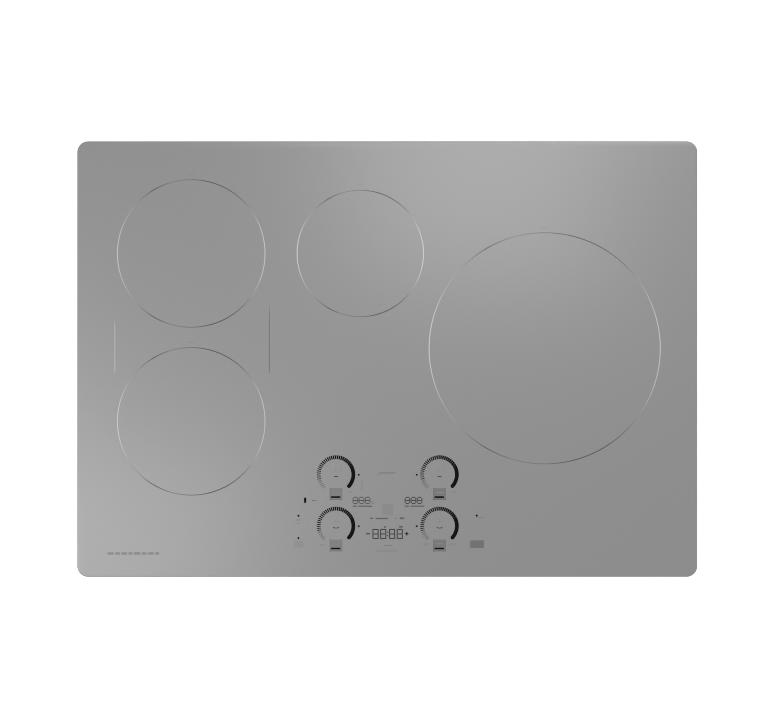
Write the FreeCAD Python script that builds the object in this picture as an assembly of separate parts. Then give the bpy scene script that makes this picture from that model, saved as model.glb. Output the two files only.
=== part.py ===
import FreeCAD, Part
import math
import os

# A drop-in induction cooktop for a 30 inch worktop cut-out. Millimetres, +X to the cook's right,
# +Y to the rear, +Z up. The origin is under the middle of the glass, on the plane of the feet.

# ---- driving dimensions ----

GLASS_WIDTH = 757.0
GLASS_DEPTH = 532.0
GLASS_THICKNESS = 4.0
GLASS_CORNER = 13.5
GLASS_TOP = 120.0

GASKET_THICKNESS = 2.5
GASKET_WIDTH = 8.0
GASKET_INSET = 2.0
BOND_THICKNESS = 1.0

CASE_WIDTH = 712.0
CASE_DEPTH = 490.0
CASE_CORNER = 12.0
CASE_TOP = 112.0
CASE_BOTTOM = 2.5
SHEET = 1.0
SKIRT_DROP = 18.0
FRAME_GAP = 0.3
FLANGE_WIDTH = 16.0

# Cooking zones: centre x, centre y, printed radius, number of ferrite bars, direction of the leads
ZONES = {
    "left_rear": (-239.6, 129.5, 90.0, 8, 337.5),
    "left_front": (-239.6, -75.3, 90.0, 8, 337.5),
    "center_rear": (-33.4, 129.5, 77.1, 8, 202.5),
    "right": (191.5, 13.8, 141.0, 12, 195.0),
}
# Where each coil's pair of leads lands on the inverter boards
LEAD_ENDS = {
    "left_rear": (-172.0, 60.0),
    "left_front": (-172.0, -60.0),
    "center_rear": (-168.0, 110.0),
    "right": (168.0, -20.0),
}

DECK_TOP = 86.0
DECK_THICKNESS = 1.5
DECK_WIDTH = 700.0
DECK_DEPTH = 470.0

WIRE = 4.0
MICA_THICKNESS = 0.8
GLASS_CLEARANCE = 0.3
CARRIER_PLATE = 2.0
FERRITE_THICKNESS = 5.0
FERRITE_WIDTH = 14.0

DIAL_X = (-62.6, 63.2)
DIAL_Y = (-141.0, -203.7)
DIAL_INNER = 18.7
DIAL_OUTER = 23.5
KEY_DROP = 23.8
CONTROL_X = 4.0
CONTROL_Y = -177.0
BOARD_WIDTH = 250.0
BOARD_DEPTH = 126.0
BOARD_CORNER = 14.0
BOARD_THICKNESS = 1.6
TOUCH_BOARD_Z = 108.0

FAN_SIZE = 92.0
FAN_HEIGHT = 25.0
FAN_X = 235.0
FAN_Y = -180.0

POWER_BOARD_Z = 12.0
POWER_BOARD_WIDTH = 150.0
POWER_BOARD_FRONT = -105.0
POWER_BOARD_REAR = 145.0

POCKET_LEFT = 248.0
POCKET_RIGHT = 332.0
POCKET_DEPTH = 34.0
POCKET_TOP = 56.0
GLAND_X = 290.0
GLAND_Z = 28.0
GLAND_BORE = 8.5

CLAMP_X = 371.0
CLAMP_PAD_TOP = 70.0
CLAMP_ARM_Z = 42.0
THREAD_RADIUS = 3.0
RUNNING_CLEARANCE = 0.05

# ---- levels that follow from them ----

GLASS_UNDER = GLASS_TOP - GLASS_THICKNESS
FLANGE_TOP = GLASS_UNDER - BOND_THICKNESS
WORKTOP_TOP = GLASS_UNDER - GASKET_THICKNESS
FLOOR_TOP = CASE_BOTTOM + SHEET
MICA_TOP = GLASS_UNDER - GLASS_CLEARANCE
WINDING_TOP = MICA_TOP - MICA_THICKNESS
CARRIER_TOP = WINDING_TOP - WIRE
CARRIER_UNDER = CARRIER_TOP - CARRIER_PLATE
FERRITE_BOTTOM = CARRIER_UNDER - FERRITE_THICKNESS
SPRING_TOP = FERRITE_BOTTOM - 0.7
BOARD_TOP = TOUCH_BOARD_Z + BOARD_THICKNESS
POWER_BOARD_TOP = POWER_BOARD_Z + BOARD_THICKNESS
SKIRT_WIDTH = CASE_WIDTH + 2 * (FRAME_GAP + SHEET)
SKIRT_DEPTH = CASE_DEPTH + 2 * (FRAME_GAP + SHEET)
NOTCH_LEFT = CONTROL_X - BOARD_WIDTH / 2 - 15
NOTCH_RIGHT = CONTROL_X + BOARD_WIDTH / 2 + 15

V = FreeCAD.Vector
UP = V(0, 0, 1)
ORIGIN = V(0, 0, 0)


# ---- shape helpers ----

def box(x0, x1, y0, y1, z0, z1):
    return Part.makeBox(x1 - x0, y1 - y0, z1 - z0, V(x0, y0, z0))


def cylinder(x, y, radius, z0, z1):
    return Part.makeCylinder(radius, z1 - z0, V(x, y, z0), UP)


def ring(x, y, inner, outer, z0, z1):
    return cylinder(x, y, outer, z0, z1).cut(cylinder(x, y, inner, z0 - 1, z1 + 1))


def rounded_outline(width, depth, corner):
    """A rectangle about the origin with round corners, as one closed wire."""
    a = width / 2 - corner
    b = depth / 2 - corner
    k = corner * math.sqrt(0.5)
    edges = []
    last = V(-a, -depth / 2, 0)
    for sx, sy in ((1, -1), (1, 1), (-1, 1), (-1, -1)):
        on_side = V(sx * width / 2, sy * b, 0)
        on_end = V(sx * a, sy * depth / 2, 0)
        start, end = (on_end, on_side) if sx * sy < 0 else (on_side, on_end)
        edges.append(Part.LineSegment(last, start).toShape())
        edges.append(Part.Arc(start, V(sx * (a + k), sy * (b + k), 0), end).toShape())
        last = end
    return Part.Wire(edges)


def slab(width, depth, corner, z0, z1, x=0.0, y=0.0):
    """A rounded rectangle from z0 to z1."""
    solid = Part.Face(rounded_outline(width, depth, corner)).extrude(V(0, 0, z1 - z0))
    solid.translate(V(x, y, z0))
    return solid


def polygon_prism(points, along):
    """A prism whose flat outline is a list of vectors."""
    return Part.Face(Part.makePolygon(points + points[:1])).extrude(along)


def hexagon(x, y, across_flats, z0, z1):
    corner = across_flats / math.sqrt(3)
    points = [V(x + corner * math.cos(math.radians(60 * i)),
                y + corner * math.sin(math.radians(60 * i)), z0) for i in range(6)]
    return polygon_prism(points, V(0, 0, z1 - z0))


def slot(x, y, length, width, z0, z1, degrees=0.0):
    """A slot with round ends, its length at the given angle from +X."""
    solid = slab(length, width, width / 2 - 0.01, z0, z1)
    solid.rotate(ORIGIN, UP, degrees)
    solid.translate(V(x, y, 0))
    return solid


def polar(x, y, radius, degrees):
    angle = math.radians(degrees)
    return x + radius * math.cos(angle), y + radius * math.sin(angle)


def turned(solid, x, y, degrees):
    """The solid turned about the vertical line through x, y."""
    result = solid.copy()
    result.rotate(V(x, y, 0), UP, degrees)
    return result


def mirrored(solid):
    """The solid's mirror image on the other side of the middle plane."""
    return solid.mirror(ORIGIN, V(1, 0, 0))


def union(solids):
    return solids[0].fuse(solids[1:]).removeSplitter()


def edges_at(solid, z):
    """The edges that lie wholly at height z."""
    return [e for e in solid.Edges if max(abs(v.Z - z) for v in e.Vertexes) < 1e-4]


def helical_spring(x, y, z0, z1, mean_radius, wire, turns):
    """An open coil spring that fills z0 to z1, its wire's section an octagon."""
    pitch = (z1 - z0 - wire) / turns
    helix = Part.makeHelix(pitch, pitch * turns, mean_radius)
    corners = [V(mean_radius + wire / 2 * math.cos(math.radians(45 * i + 22.5)), 0,
                 wire / 2 * math.sin(math.radians(45 * i + 22.5))) for i in range(8)]
    section = Part.makePolygon(corners + corners[:1])
    spring = Part.Wire(helix).makePipeShell([section], True, True)
    spring.translate(V(x, y, z0 + wire / 2))
    return spring


def save(name, solids):
    shape = Part.makeCompound(solids) if len(solids) > 1 else solids[0]
    shape.exportStep("parts/" + name + ".step")


# ---- glass, its seal and the frame bonded under it ----

def glass_top():
    bevel = 1.4
    underside_break = 0.5
    plate = slab(GLASS_WIDTH, GLASS_DEPTH, GLASS_CORNER, GLASS_UNDER, GLASS_TOP)
    plate = plate.makeFillet(bevel, edges_at(plate, GLASS_TOP))
    return [plate.makeChamfer(underside_break, edges_at(plate, GLASS_UNDER))]


def edge_gasket():
    """Four strips of foam tape under the rim of the glass, butted at the corners."""
    x1 = GLASS_WIDTH / 2 - GASKET_INSET
    y1 = GLASS_DEPTH / 2 - GASKET_INSET
    long_end = x1 - GASKET_WIDTH + 2
    short_end = y1 - GASKET_WIDTH
    strips = []
    for side in (-1, 1):
        y = sorted((side * y1, side * (y1 - GASKET_WIDTH)))
        x = sorted((side * x1, side * (x1 - GASKET_WIDTH)))
        strips.append(box(-long_end, long_end, y[0], y[1], WORKTOP_TOP, GLASS_UNDER))
        strips.append(box(x[0], x[1], -short_end, short_end, WORKTOP_TOP, GLASS_UNDER))
    return strips


def flange_opening(z0, z1):
    """The space inside the frame's inward flange, with the notch over the touch controls."""
    opening = slab(SKIRT_WIDTH - 2 * FLANGE_WIDTH, SKIRT_DEPTH - 2 * FLANGE_WIDTH, 8, z0, z1)
    notch = box(NOTCH_LEFT, NOTCH_RIGHT, -CASE_DEPTH / 2 + SHEET, -CASE_DEPTH / 4, z0, z1)
    return opening.fuse(notch)


def support_frame():
    corner = CASE_CORNER + FRAME_GAP + SHEET
    bottom = FLANGE_TOP - SKIRT_DROP
    frame = slab(SKIRT_WIDTH, SKIRT_DEPTH, corner, bottom, FLANGE_TOP)
    frame = frame.makeFillet(SHEET, edges_at(frame, FLANGE_TOP))
    hollow = slab(SKIRT_WIDTH - 2 * SHEET, SKIRT_DEPTH - 2 * SHEET, corner - SHEET,
                  bottom - 1, FLANGE_TOP - SHEET)
    frame = frame.cut([hollow, flange_opening(FLANGE_TOP - SHEET - 1, FLANGE_TOP + 1)])
    return [frame.cut([screw_hole(*place) for place in WALL_SCREWS])]


def silicone_bond():
    """The adhesive between the frame's flange and the glass, in straight beads."""
    bead = 8.0
    x1 = SKIRT_WIDTH / 2 - 4
    y1 = SKIRT_DEPTH / 2 - 4
    beads = [box(-x1, x1, y1 - bead, y1, FLANGE_TOP, GLASS_UNDER)]
    beads.append(box(-x1, NOTCH_LEFT - 3, -y1, bead - y1, FLANGE_TOP, GLASS_UNDER))
    beads.append(box(NOTCH_RIGHT + 3, x1, -y1, bead - y1, FLANGE_TOP, GLASS_UNDER))
    for x0 in (-x1, x1 - bead):
        beads.append(box(x0, x0 + bead, bead - y1 + 1, y1 - bead - 1, FLANGE_TOP, GLASS_UNDER))
    return beads


# ---- screws ----

SCREW_RADIUS = 2.0
SCREW_LENGTH = 6.0
HEAD_RADIUS = 4.2
HEAD_HEIGHT = 2.6
BRACKET_SHEET = 2.0
BRACKET_HALF = 22.0
BRACKET_TOP = 64.0
BRACKET_SCREW_Y = 14.0
BRACKET_SCREW_Z = 56.0


def wall_screw_places():
    """Seat x, y, z and outward direction of each screw that goes through a side wall."""
    z = FLANGE_TOP - SKIRT_DROP + 6
    places = []
    for side in (-1, 1):
        for x in (-290.0, -165.0, 165.0, 290.0):
            places.append((x, side * SKIRT_DEPTH / 2, z, V(0, side, 0)))
        for y in (-150.0, 150.0):
            places.append((side * SKIRT_WIDTH / 2, y, z, V(side, 0, 0)))
    return places


def bracket_screw_places():
    seat = CASE_WIDTH / 2 + BRACKET_SHEET
    return [(side * seat, y, BRACKET_SCREW_Z, V(side, 0, 0))
            for side in (-1, 1) for y in (-BRACKET_SCREW_Y, BRACKET_SCREW_Y)]


def deck_screw_places():
    edge = DECK_WIDTH / 2 - 14
    return [(side * edge, y, DECK_TOP, UP) for side in (-1, 1) for y in (-170.0, 0.0, 170.0)]


WALL_SCREWS = wall_screw_places()
BRACKET_SCREWS = bracket_screw_places()
DECK_SCREWS = deck_screw_places()


def screw_hole(x, y, z, outward):
    reach = SCREW_LENGTH + 2
    start = V(x, y, z) - outward * reach
    return Part.makeCylinder(SCREW_RADIUS + 0.15, 2 * reach, start, outward)


def case_screw(x, y, z, outward):
    """One flanged hexagon-head screw whose head seats at the given point."""
    shank = Part.makeCylinder(SCREW_RADIUS, SCREW_LENGTH, ORIGIN, V(0, 0, -1))
    flange = Part.makeCone(HEAD_RADIUS + 0.8, HEAD_RADIUS, 0.8)
    head = hexagon(0, 0, 1.7 * HEAD_RADIUS, 0.8, HEAD_HEIGHT)
    screw = union([shank, flange, head])
    if outward.z == 0:
        screw.rotate(ORIGIN, UP.cross(outward), 90)
    screw.translate(V(x, y, z))
    return screw


def case_screws():
    return [case_screw(*place) for place in WALL_SCREWS + BRACKET_SCREWS + DECK_SCREWS]


# ---- base pan ----

FOOT_PLACES = [(x, y) for x in (-315.0, 0.0, 315.0) for y in (-205.0, 205.0)]
FOOT_RADIUS = 15.0
FOOT_FLARE = 4.0
BEAD_RISE = 2.0


def floor_beads(grow, z0, z1):
    """Stiffening beads pressed up into the floor; grow widens them for the inner skin."""
    beads = []
    for x in (-110.0, -60.0, 60.0, 110.0):
        beads.append(slot(x, 0, 320 + 2 * grow, 12 + 2 * grow, z0, z1, 90))
    for x, y in ((-235.0, -60.0), (-235.0, 60.0), (-235.0, 170.0), (235.0, -60.0), (235.0, 60.0),
                 (235.0, 120.0)):
        beads.append(slot(x, y, 150 + 2 * grow, 12 + 2 * grow, z0, z1))
    return beads


def intake_slots(x, y):
    """Curved air slots in rings over a fan's inlet."""
    bar_width = 4.0
    half_slot = 2.2
    slots = []
    for radius, count in ((12.0, 3), (20.0, 4), (28.0, 6), (36.0, 8)):
        sweep = 360.0 / count - math.degrees(bar_width / radius)
        whole = ring(x, y, radius - half_slot, radius + half_slot, CASE_BOTTOM - 1, FLOOR_TOP + 1)
        for i in range(count):
            slots.append(sector(whole, x, y, 60, 360.0 * i / count, sweep,
                                CASE_BOTTOM - 2, FLOOR_TOP + 2))
    return slots


def sector(solid, x, y, reach, first, sweep, z0, z1):
    """The part of a solid between two directions about x, y."""
    wedge = Part.makeCylinder(reach, z1 - z0, V(x, y, z0), UP, sweep)
    wedge.rotate(V(x, y, 0), UP, first)
    return solid.common(wedge)


def vent_row(x0, count, y, z0, z1):
    """A row of upright vent slots through a front or rear wall."""
    pitch = 7.0
    half = 1.6
    return [box(x0 + i * pitch - half, x0 + i * pitch + half, y - 3, y + 3, z0, z1)
            for i in range(count)]


def pan_skin(inset):
    """The pan's filled shape, inset from the outer skin by a sheet thickness."""
    width = CASE_WIDTH - 2 * inset
    depth = CASE_DEPTH - 2 * inset
    bottom = CASE_BOTTOM + inset
    top = CASE_TOP + 5 * inset
    skin = slab(width, depth, CASE_CORNER - inset, bottom, top)
    skin = skin.makeFillet(5 - inset, edges_at(skin, bottom))
    feet = [Part.makeCone(FOOT_RADIUS - inset, FOOT_RADIUS + FOOT_FLARE - inset,
                          CASE_BOTTOM + 0.01, V(x, y, inset)) for x, y in FOOT_PLACES]
    skin = skin.fuse(feet)
    rear = CASE_DEPTH / 2
    pocket = box(POCKET_LEFT - inset, POCKET_RIGHT + inset, rear - POCKET_DEPTH - inset,
                 rear + 10, CASE_BOTTOM - 10, POCKET_TOP + inset)
    beads = floor_beads(inset, bottom - 1, bottom + BEAD_RISE)
    return skin.cut([pocket] + beads)


def base_pan():
    pan = pan_skin(0).cut(pan_skin(SHEET))
    rear = CASE_DEPTH / 2
    cuts = []
    for x in (-FAN_X, FAN_X):
        cuts += intake_slots(x, FAN_Y)
    cuts += vent_row(-322.0, 28, rear, 60, 80) + vent_row(100.0, 28, rear, 60, 80)
    cuts += vent_row(-300.0, 16, -rear, 60, 80) + vent_row(195.0, 16, -rear, 60, 80)
    cuts += [screw_hole(*place) for place in WALL_SCREWS + BRACKET_SCREWS]
    cuts.append(Part.makeCylinder(11.3, 8, V(GLAND_X, rear - POCKET_DEPTH - 4, GLAND_Z), V(0, 1, 0)))
    return [pan.cut(cuts)]


def rating_plate():
    plate = slab(90, 45, 3, CASE_BOTTOM - 0.5, CASE_BOTTOM, -160, -30)
    rivets = [cylinder(-160 + sx * 40, -30 + sy * 17, 1.5, CASE_BOTTOM - 0.9, CASE_BOTTOM - 0.4)
              for sx in (-1, 1) for sy in (-1, 1)]
    return [union([plate] + rivets)]


# ---- deck that carries the coils ----

def coil_deck():
    under = DECK_TOP - DECK_THICKNESS
    deck = slab(DECK_WIDTH, DECK_DEPTH, 8, under, DECK_TOP)
    notch_rear = CONTROL_Y + TRAY_DEPTH / 2 + 6
    cuts = [box(NOTCH_LEFT, NOTCH_RIGHT, -DECK_DEPTH, notch_rear, under - 1, DECK_TOP + 1)]
    for name, (x, y, radius, bars, lead_angle) in ZONES.items():
        cuts.append(cylinder(x, y, 18, under - 1, DECK_TOP + 1))
        lead_x, lead_y = lead_start(name)
        cuts.append(slot(lead_x, lead_y, 26, 14, under - 1, DECK_TOP + 1, lead_angle + 90))
        for i in range(bars):
            hole_x, hole_y = polar(x, y, 0.45 * radius, 360.0 * i / bars)
            cuts.append(slot(hole_x, hole_y, 0.24 * radius, 9, under - 1, DECK_TOP + 1,
                             360.0 * i / bars))
    cuts += [screw_hole(*place) for place in DECK_SCREWS]
    return [deck.cut(cuts)]


def deck_rails():
    """Two Z-section rails between the floor and the deck."""
    web_x = DECK_WIDTH / 2 - 6
    foot = 16.0
    thickness = 1.2
    under = DECK_TOP - DECK_THICKNESS
    rail = union([
        box(web_x - thickness, web_x, -200, 200, FLOOR_TOP, under),
        box(web_x - foot, web_x, -200, 200, under - thickness, under),
        box(web_x - foot, web_x, -200, 200, FLOOR_TOP, FLOOR_TOP + thickness),
    ])
    windows = [box(web_x - 5, web_x + 5, y - 24, y + 24, 24, 66) for y in (-135, -45, 45, 135)]
    holes = [screw_hole(*place) for place in DECK_SCREWS if place[0] > 0]
    rail = rail.cut(windows + holes)
    return [mirrored(rail), rail]


# ---- coils ----

HUB_RADIUS = 11.0
HUB_BORE = 8.5
HUB_BOTTOM = 98.0
HUB_FLOOR = 1.5
HUB_TOP = CARRIER_TOP - 0.5
STEM_RADIUS = 3.0


def coil_radius(name):
    return ZONES[name][2] - 3.0


def spring_angles(name):
    """Three directions, each between two ferrite bars."""
    bars = ZONES[name][3]
    step = 360.0 / bars
    return [step * (0.5 + round(third * bars / 3.0)) for third in range(3)]


def spring_places(name):
    x, y = ZONES[name][:2]
    return [polar(x, y, 0.66 * coil_radius(name), angle) for angle in spring_angles(name)]


def lead_start(name):
    x, y = ZONES[name][:2]
    return polar(x, y, 0.75 * coil_radius(name), ZONES[name][4])


def bar_start(bars):
    """The radius at which neighbouring ferrite bars leave room for their channels."""
    return (FERRITE_WIDTH + 4.2) / (2 * math.tan(math.pi / bars))


def winding(name):
    """A flat winding of litz wire, its turns side by side, as one turned solid."""
    x, y = ZONES[name][:2]
    inner = 26.0
    wire_radius = WIRE / 2
    half_pitch = 0.97 * wire_radius
    crown = 0.45 * wire_radius
    valley = 0.4 * wire_radius
    turns = int((coil_radius(name) - 4.0 - inner) / (2 * half_pitch))
    middle = CARRIER_TOP + wire_radius
    upper = []
    for turn in range(turns):
        r = inner + half_pitch * (2 * turn + 1)
        upper += [(r - half_pitch, valley), (r - crown, wire_radius), (r + crown, wire_radius)]
    upper.append((inner + 2 * half_pitch * turns, valley))
    outline = [V(r, 0, middle + z) for r, z in upper]
    outline += [V(r, 0, middle - z) for r, z in reversed(upper)]
    solid = Part.Face(Part.makePolygon(outline + outline[:1])).revolve(ORIGIN, UP, 360)
    solid.translate(V(x, y, 0))
    return [solid]


def carrier(name):
    """The moulded spider under a winding, with a channel for each ferrite bar."""
    x, y, _, bars, lead_angle = ZONES[name]
    radius = coil_radius(name)
    wall = 1.5
    rim_top = WINDING_TOP - 0.6
    channel_half = FERRITE_WIDTH / 2 + 0.2
    parts = [cylinder(x, y, radius, CARRIER_UNDER, CARRIER_TOP)]
    parts.append(ring(x, y, radius - wall, radius, CARRIER_UNDER, rim_top))
    parts.append(cylinder(x, y, HUB_RADIUS, HUB_BOTTOM, HUB_TOP))
    for i in range(bars):
        for side in (-1, 1):
            y0 = y + side * (channel_half + wall / 2) - wall / 2
            rib = box(x + bar_start(bars), x + radius - 4, y0, y0 + wall,
                      FERRITE_BOTTOM, CARRIER_UNDER + 0.5)
            parts.append(turned(rib, x, y, 360.0 * i / bars))
    for seat_x, seat_y in spring_places(name):
        parts.append(cylinder(seat_x, seat_y, 6.5, SPRING_TOP, CARRIER_UNDER + 0.5))
        parts.append(cylinder(seat_x, seat_y, 3.4, SPRING_TOP - 6, SPRING_TOP))
    solid = union(parts)
    bore_bottom = HUB_BOTTOM + HUB_FLOOR
    cuts = [cylinder(x, y, HUB_BORE + RUNNING_CLEARANCE, bore_bottom, CARRIER_TOP + 5)]
    cuts.append(cylinder(x, y, STEM_RADIUS + RUNNING_CLEARANCE, HUB_BOTTOM - 1, bore_bottom + 1))
    lead_x, lead_y = lead_start(name)
    cuts.append(slot(lead_x, lead_y, 16, 7, CARRIER_UNDER - 9, CARRIER_TOP + 1, lead_angle + 90))
    step = 360.0 / bars
    for i in range(bars):
        window_x, window_y = polar(x, y, 0.36 * radius, step * (i + 0.5))
        cuts.append(cylinder(window_x, window_y, 0.055 * radius, CARRIER_UNDER - 1, CARRIER_TOP + 1))
    return [solid.cut(cuts)]


def ferrites(name):
    x, y, _, bars, _ = ZONES[name]
    half = FERRITE_WIDTH / 2
    bar = box(x + bar_start(bars) + 1, x + coil_radius(name) - 6, y - half, y + half,
              FERRITE_BOTTOM, CARRIER_UNDER)
    return [turned(bar, x, y, 360.0 * i / bars) for i in range(bars)]


def insulation(name):
    """The mica sheet between winding and glass."""
    x, y = ZONES[name][:2]
    return [ring(x, y, HUB_BORE + 1.5, coil_radius(name), WINDING_TOP, MICA_TOP)]


def sensor(name):
    """The spring-loaded temperature sensor that feels the glass in the middle of a coil."""
    x, y = ZONES[name][:2]
    head_bottom = HUB_TOP - 4.0
    head = cylinder(x, y, HUB_BORE, head_bottom, MICA_TOP)
    head = head.makeChamfer(0.6, edges_at(head, MICA_TOP))
    stem = cylinder(x, y, STEM_RADIUS, HUB_BOTTOM - 5, head_bottom)
    clip = cylinder(x, y, STEM_RADIUS + 1.4, HUB_BOTTOM - 3, HUB_BOTTOM - 1.6)
    tail_wires = [cylinder(x + dx, y, 0.6, HUB_BOTTOM - 9, HUB_BOTTOM - 4.5) for dx in (-1.2, 1.2)]
    return [union([head, stem, clip] + tail_wires)]


def coil_springs(name):
    """Three springs that press a coil up to the glass, and the small one under its sensor."""
    x, y = ZONES[name][:2]
    springs = [helical_spring(seat_x, seat_y, DECK_TOP + 0.2, SPRING_TOP - 0.2, 4.6, 1.0, 5)
               for seat_x, seat_y in spring_places(name)]
    hub_floor = HUB_BOTTOM + HUB_FLOOR
    springs.append(helical_spring(x, y, hub_floor + 0.1, HUB_TOP - 4.1, 5.6, 0.7, 4))
    return springs


# ---- leads ----

def tube_along(points, radius):
    """A round lead through the points, each corner taken by an arc."""
    runs = [points[i + 1] - points[i] for i in range(len(points) - 1)]
    edges = []
    last = points[0]
    for i in range(1, len(points) - 1):
        before = runs[i - 1]
        after = runs[i]
        cut_back = 0.45 * min(before.Length, after.Length)
        into = V(before).normalize()
        out = V(after).normalize()
        start = points[i] - into * cut_back
        end = points[i] + out * cut_back
        half_turn = into.getAngle(out) / 2
        bend = cut_back / math.tan(half_turn)
        inward = V(out - into).normalize()
        centre = points[i] + inward * (bend / math.cos(half_turn))
        edges.append(Part.LineSegment(last, start).toShape())
        edges.append(Part.Arc(start, centre - inward * bend, end).toShape())
        last = end
    edges.append(Part.LineSegment(last, points[-1]).toShape())
    path = Part.Wire(edges)
    section = Part.Wire([Part.Circle(points[0], runs[0], radius).toShape()])
    return path.makePipeShell([section], True, False)


def coil_leads():
    """Two litz leads from each coil, through the deck, to studs on the inverter boards."""
    lead_radius = 1.8
    leads = []
    for name in ZONES:
        start_x, start_y = lead_start(name)
        end_x, end_y = LEAD_ENDS[name]
        across = math.radians(ZONES[name][4] + 90)
        for side in (-4.0, 4.0):
            x = start_x + side * math.cos(across)
            y = start_y + side * math.sin(across)
            points = [V(x, y, CARRIER_UNDER + 1.0), V(x, y, 76),
                      V(end_x, end_y + side, 48), V(end_x, end_y + side, POWER_BOARD_TOP + 6.2)]
            leads.append(tube_along(points, lead_radius))
    return leads


def control_ribbon_cable():
    """A flat cable from the touch board down and back to the filter board."""
    half = 8.0
    thickness = 1.2
    y0 = -127.0
    y1 = 76.0
    bend = 14.0
    low = POWER_BOARD_TOP + 6.0
    top = TOUCH_BOARD_Z - 0.2
    k = math.sqrt(0.5)
    outer = bend + thickness
    edges = [
        Part.LineSegment(V(-half, y0, top), V(-half, y0, low + outer)).toShape(),
        Part.Arc(V(-half, y0, low + outer), V(-half, y0 + outer * (1 - k), low + outer * (1 - k)),
                 V(-half, y0 + outer, low)).toShape(),
        Part.LineSegment(V(-half, y0 + outer, low), V(-half, y1, low)).toShape(),
        Part.LineSegment(V(-half, y1, low), V(-half, y1, low + thickness)).toShape(),
        Part.LineSegment(V(-half, y1, low + thickness), V(-half, y0 + outer, low + thickness)).toShape(),
        Part.Arc(V(-half, y0 + outer, low + thickness),
                 V(-half, y0 + outer - bend * k, low + outer - bend * k),
                 V(-half, y0 + thickness, low + outer)).toShape(),
        Part.LineSegment(V(-half, y0 + thickness, low + outer), V(-half, y0 + thickness, top)).toShape(),
        Part.LineSegment(V(-half, y0 + thickness, top), V(-half, y0, top)).toShape(),
    ]
    return [Part.Face(Part.Wire(edges)).extrude(V(2 * half, 0, 0))]


# ---- touch controls ----

TRAY_WALL = 1.6
TRAY_BOTTOM = 100.0
TRAY_TOP = 114.5
TRAY_WIDTH = BOARD_WIDTH + 14
TRAY_DEPTH = BOARD_DEPTH + 6
TIMER_PLACE = (0.6, -213.3)
ZONE_DISPLAY_PLACES = ((-31.2, -172.4), (32.0, -172.4))
TOUCH_KEYS = ((-25.5, -213.0), (26.5, -213.0), (-99.9, -172.1), (-108.3, -225.0), (109.4, -225.6))


def dial_centres():
    return [(x, y) for y in DIAL_Y for x in DIAL_X]


def touch_board_tray():
    corner = BOARD_CORNER + 3
    tray = slab(TRAY_WIDTH, TRAY_DEPTH, corner, TRAY_BOTTOM, TRAY_TOP, CONTROL_X, CONTROL_Y)
    hollow = slab(TRAY_WIDTH - 2 * TRAY_WALL, TRAY_DEPTH - 2 * TRAY_WALL, corner - TRAY_WALL,
                  TRAY_BOTTOM + TRAY_WALL, TRAY_TOP + 1, CONTROL_X, CONTROL_Y)
    cable_slot = box(-10, 10, -130, -123, TRAY_BOTTOM - 1, TRAY_BOTTOM + 3)
    parts = [tray.cut([hollow, cable_slot])]
    for sx in (-1, 1):
        for sy in (-1, 1):
            parts.append(cylinder(CONTROL_X + sx * (BOARD_WIDTH / 2 - 8),
                                  CONTROL_Y + sy * (BOARD_DEPTH / 2 - 8),
                                  4, TRAY_BOTTOM + 1, TOUCH_BOARD_Z))
        side = CONTROL_X + sx * TRAY_WIDTH / 2
        web = sorted((side, side - sx * TRAY_WALL))
        ear = sorted((side - sx * TRAY_WALL, side + sx * 17))
        parts.append(box(web[0], web[1], -205, -140, DECK_TOP, TRAY_BOTTOM + 1))
        parts.append(box(ear[0], ear[1], -205, -140, DECK_TOP, DECK_TOP + 2))
        for y in (-205, -174, -142):
            outer = side + sx * 15
            foot = [V(side, y, DECK_TOP + 1.5), V(outer, y, DECK_TOP + 1.5), V(side, y, TRAY_BOTTOM)]
            parts.append(polygon_prism(foot, V(0, 2, 0)))
    return [union(parts)]


def touch_board():
    board = slab(BOARD_WIDTH, BOARD_DEPTH, BOARD_CORNER, TOUCH_BOARD_Z, BOARD_TOP, CONTROL_X, CONTROL_Y)
    parts = [board]
    chips = ((-60, -190, 14, 14), (0, -185, 18, 18), (60, -190, 14, 14), (-20, -150, 10, 6),
             (30, -150, 10, 6), (-90, -160, 8, 12), (95, -160, 8, 12))
    for x, y, w, d in chips:
        parts.append(box(x - w / 2, x + w / 2, y - d / 2, y + d / 2, TOUCH_BOARD_Z - 1.6,
                         TOUCH_BOARD_Z + 0.5))
    for x in range(-84, 100, 24):
        parts.append(box(x - 1.6, x + 1.6, -228.8, -227.2, TOUCH_BOARD_Z - 0.8, TOUCH_BOARD_Z + 0.5))
    return [union(parts)]


def display_module(x, y, digits, digit_pitch, width, depth):
    """A display block with a window over each digit."""
    top = GLASS_UNDER - 0.5
    block = slab(width, depth, 1.0, BOARD_TOP, top, x, y)
    windows = []
    for i in range(digits):
        digit_x = x + (i - (digits - 1) / 2) * digit_pitch
        windows.append(box(digit_x - 0.36 * digit_pitch, digit_x + 0.36 * digit_pitch,
                           y - 0.34 * depth, y + 0.34 * depth, top - 0.6, top + 1))
    return block.cut(windows)


def timer_display():
    return [display_module(TIMER_PLACE[0], TIMER_PLACE[1], 4, 9.5, 40, 16)]


def zone_displays():
    return [display_module(x, y, 3, 7.6, 25, 12) for x, y in ZONE_DISPLAY_PLACES]


def dial_light_guides():
    """A clear arc under each printed dial, open at the bottom."""
    top = GLASS_UNDER - 0.5
    guides = []
    for x, y in dial_centres():
        whole = ring(x, y, DIAL_INNER, DIAL_OUTER, BOARD_TOP, top)
        guides.append(sector(whole, x, y, 40, -42, 270, BOARD_TOP - 1, top + 1))
    return guides


def touch_springs():
    """Contact springs that carry each key's touch to the board."""
    keys = [(x, y - KEY_DROP) for x, y in dial_centres()] + list(TOUCH_KEYS)
    return [helical_spring(x, y, BOARD_TOP + 0.1, GLASS_UNDER - 0.2, 3.2, 0.8, 4) for x, y in keys]


# ---- power electronics ----

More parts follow.
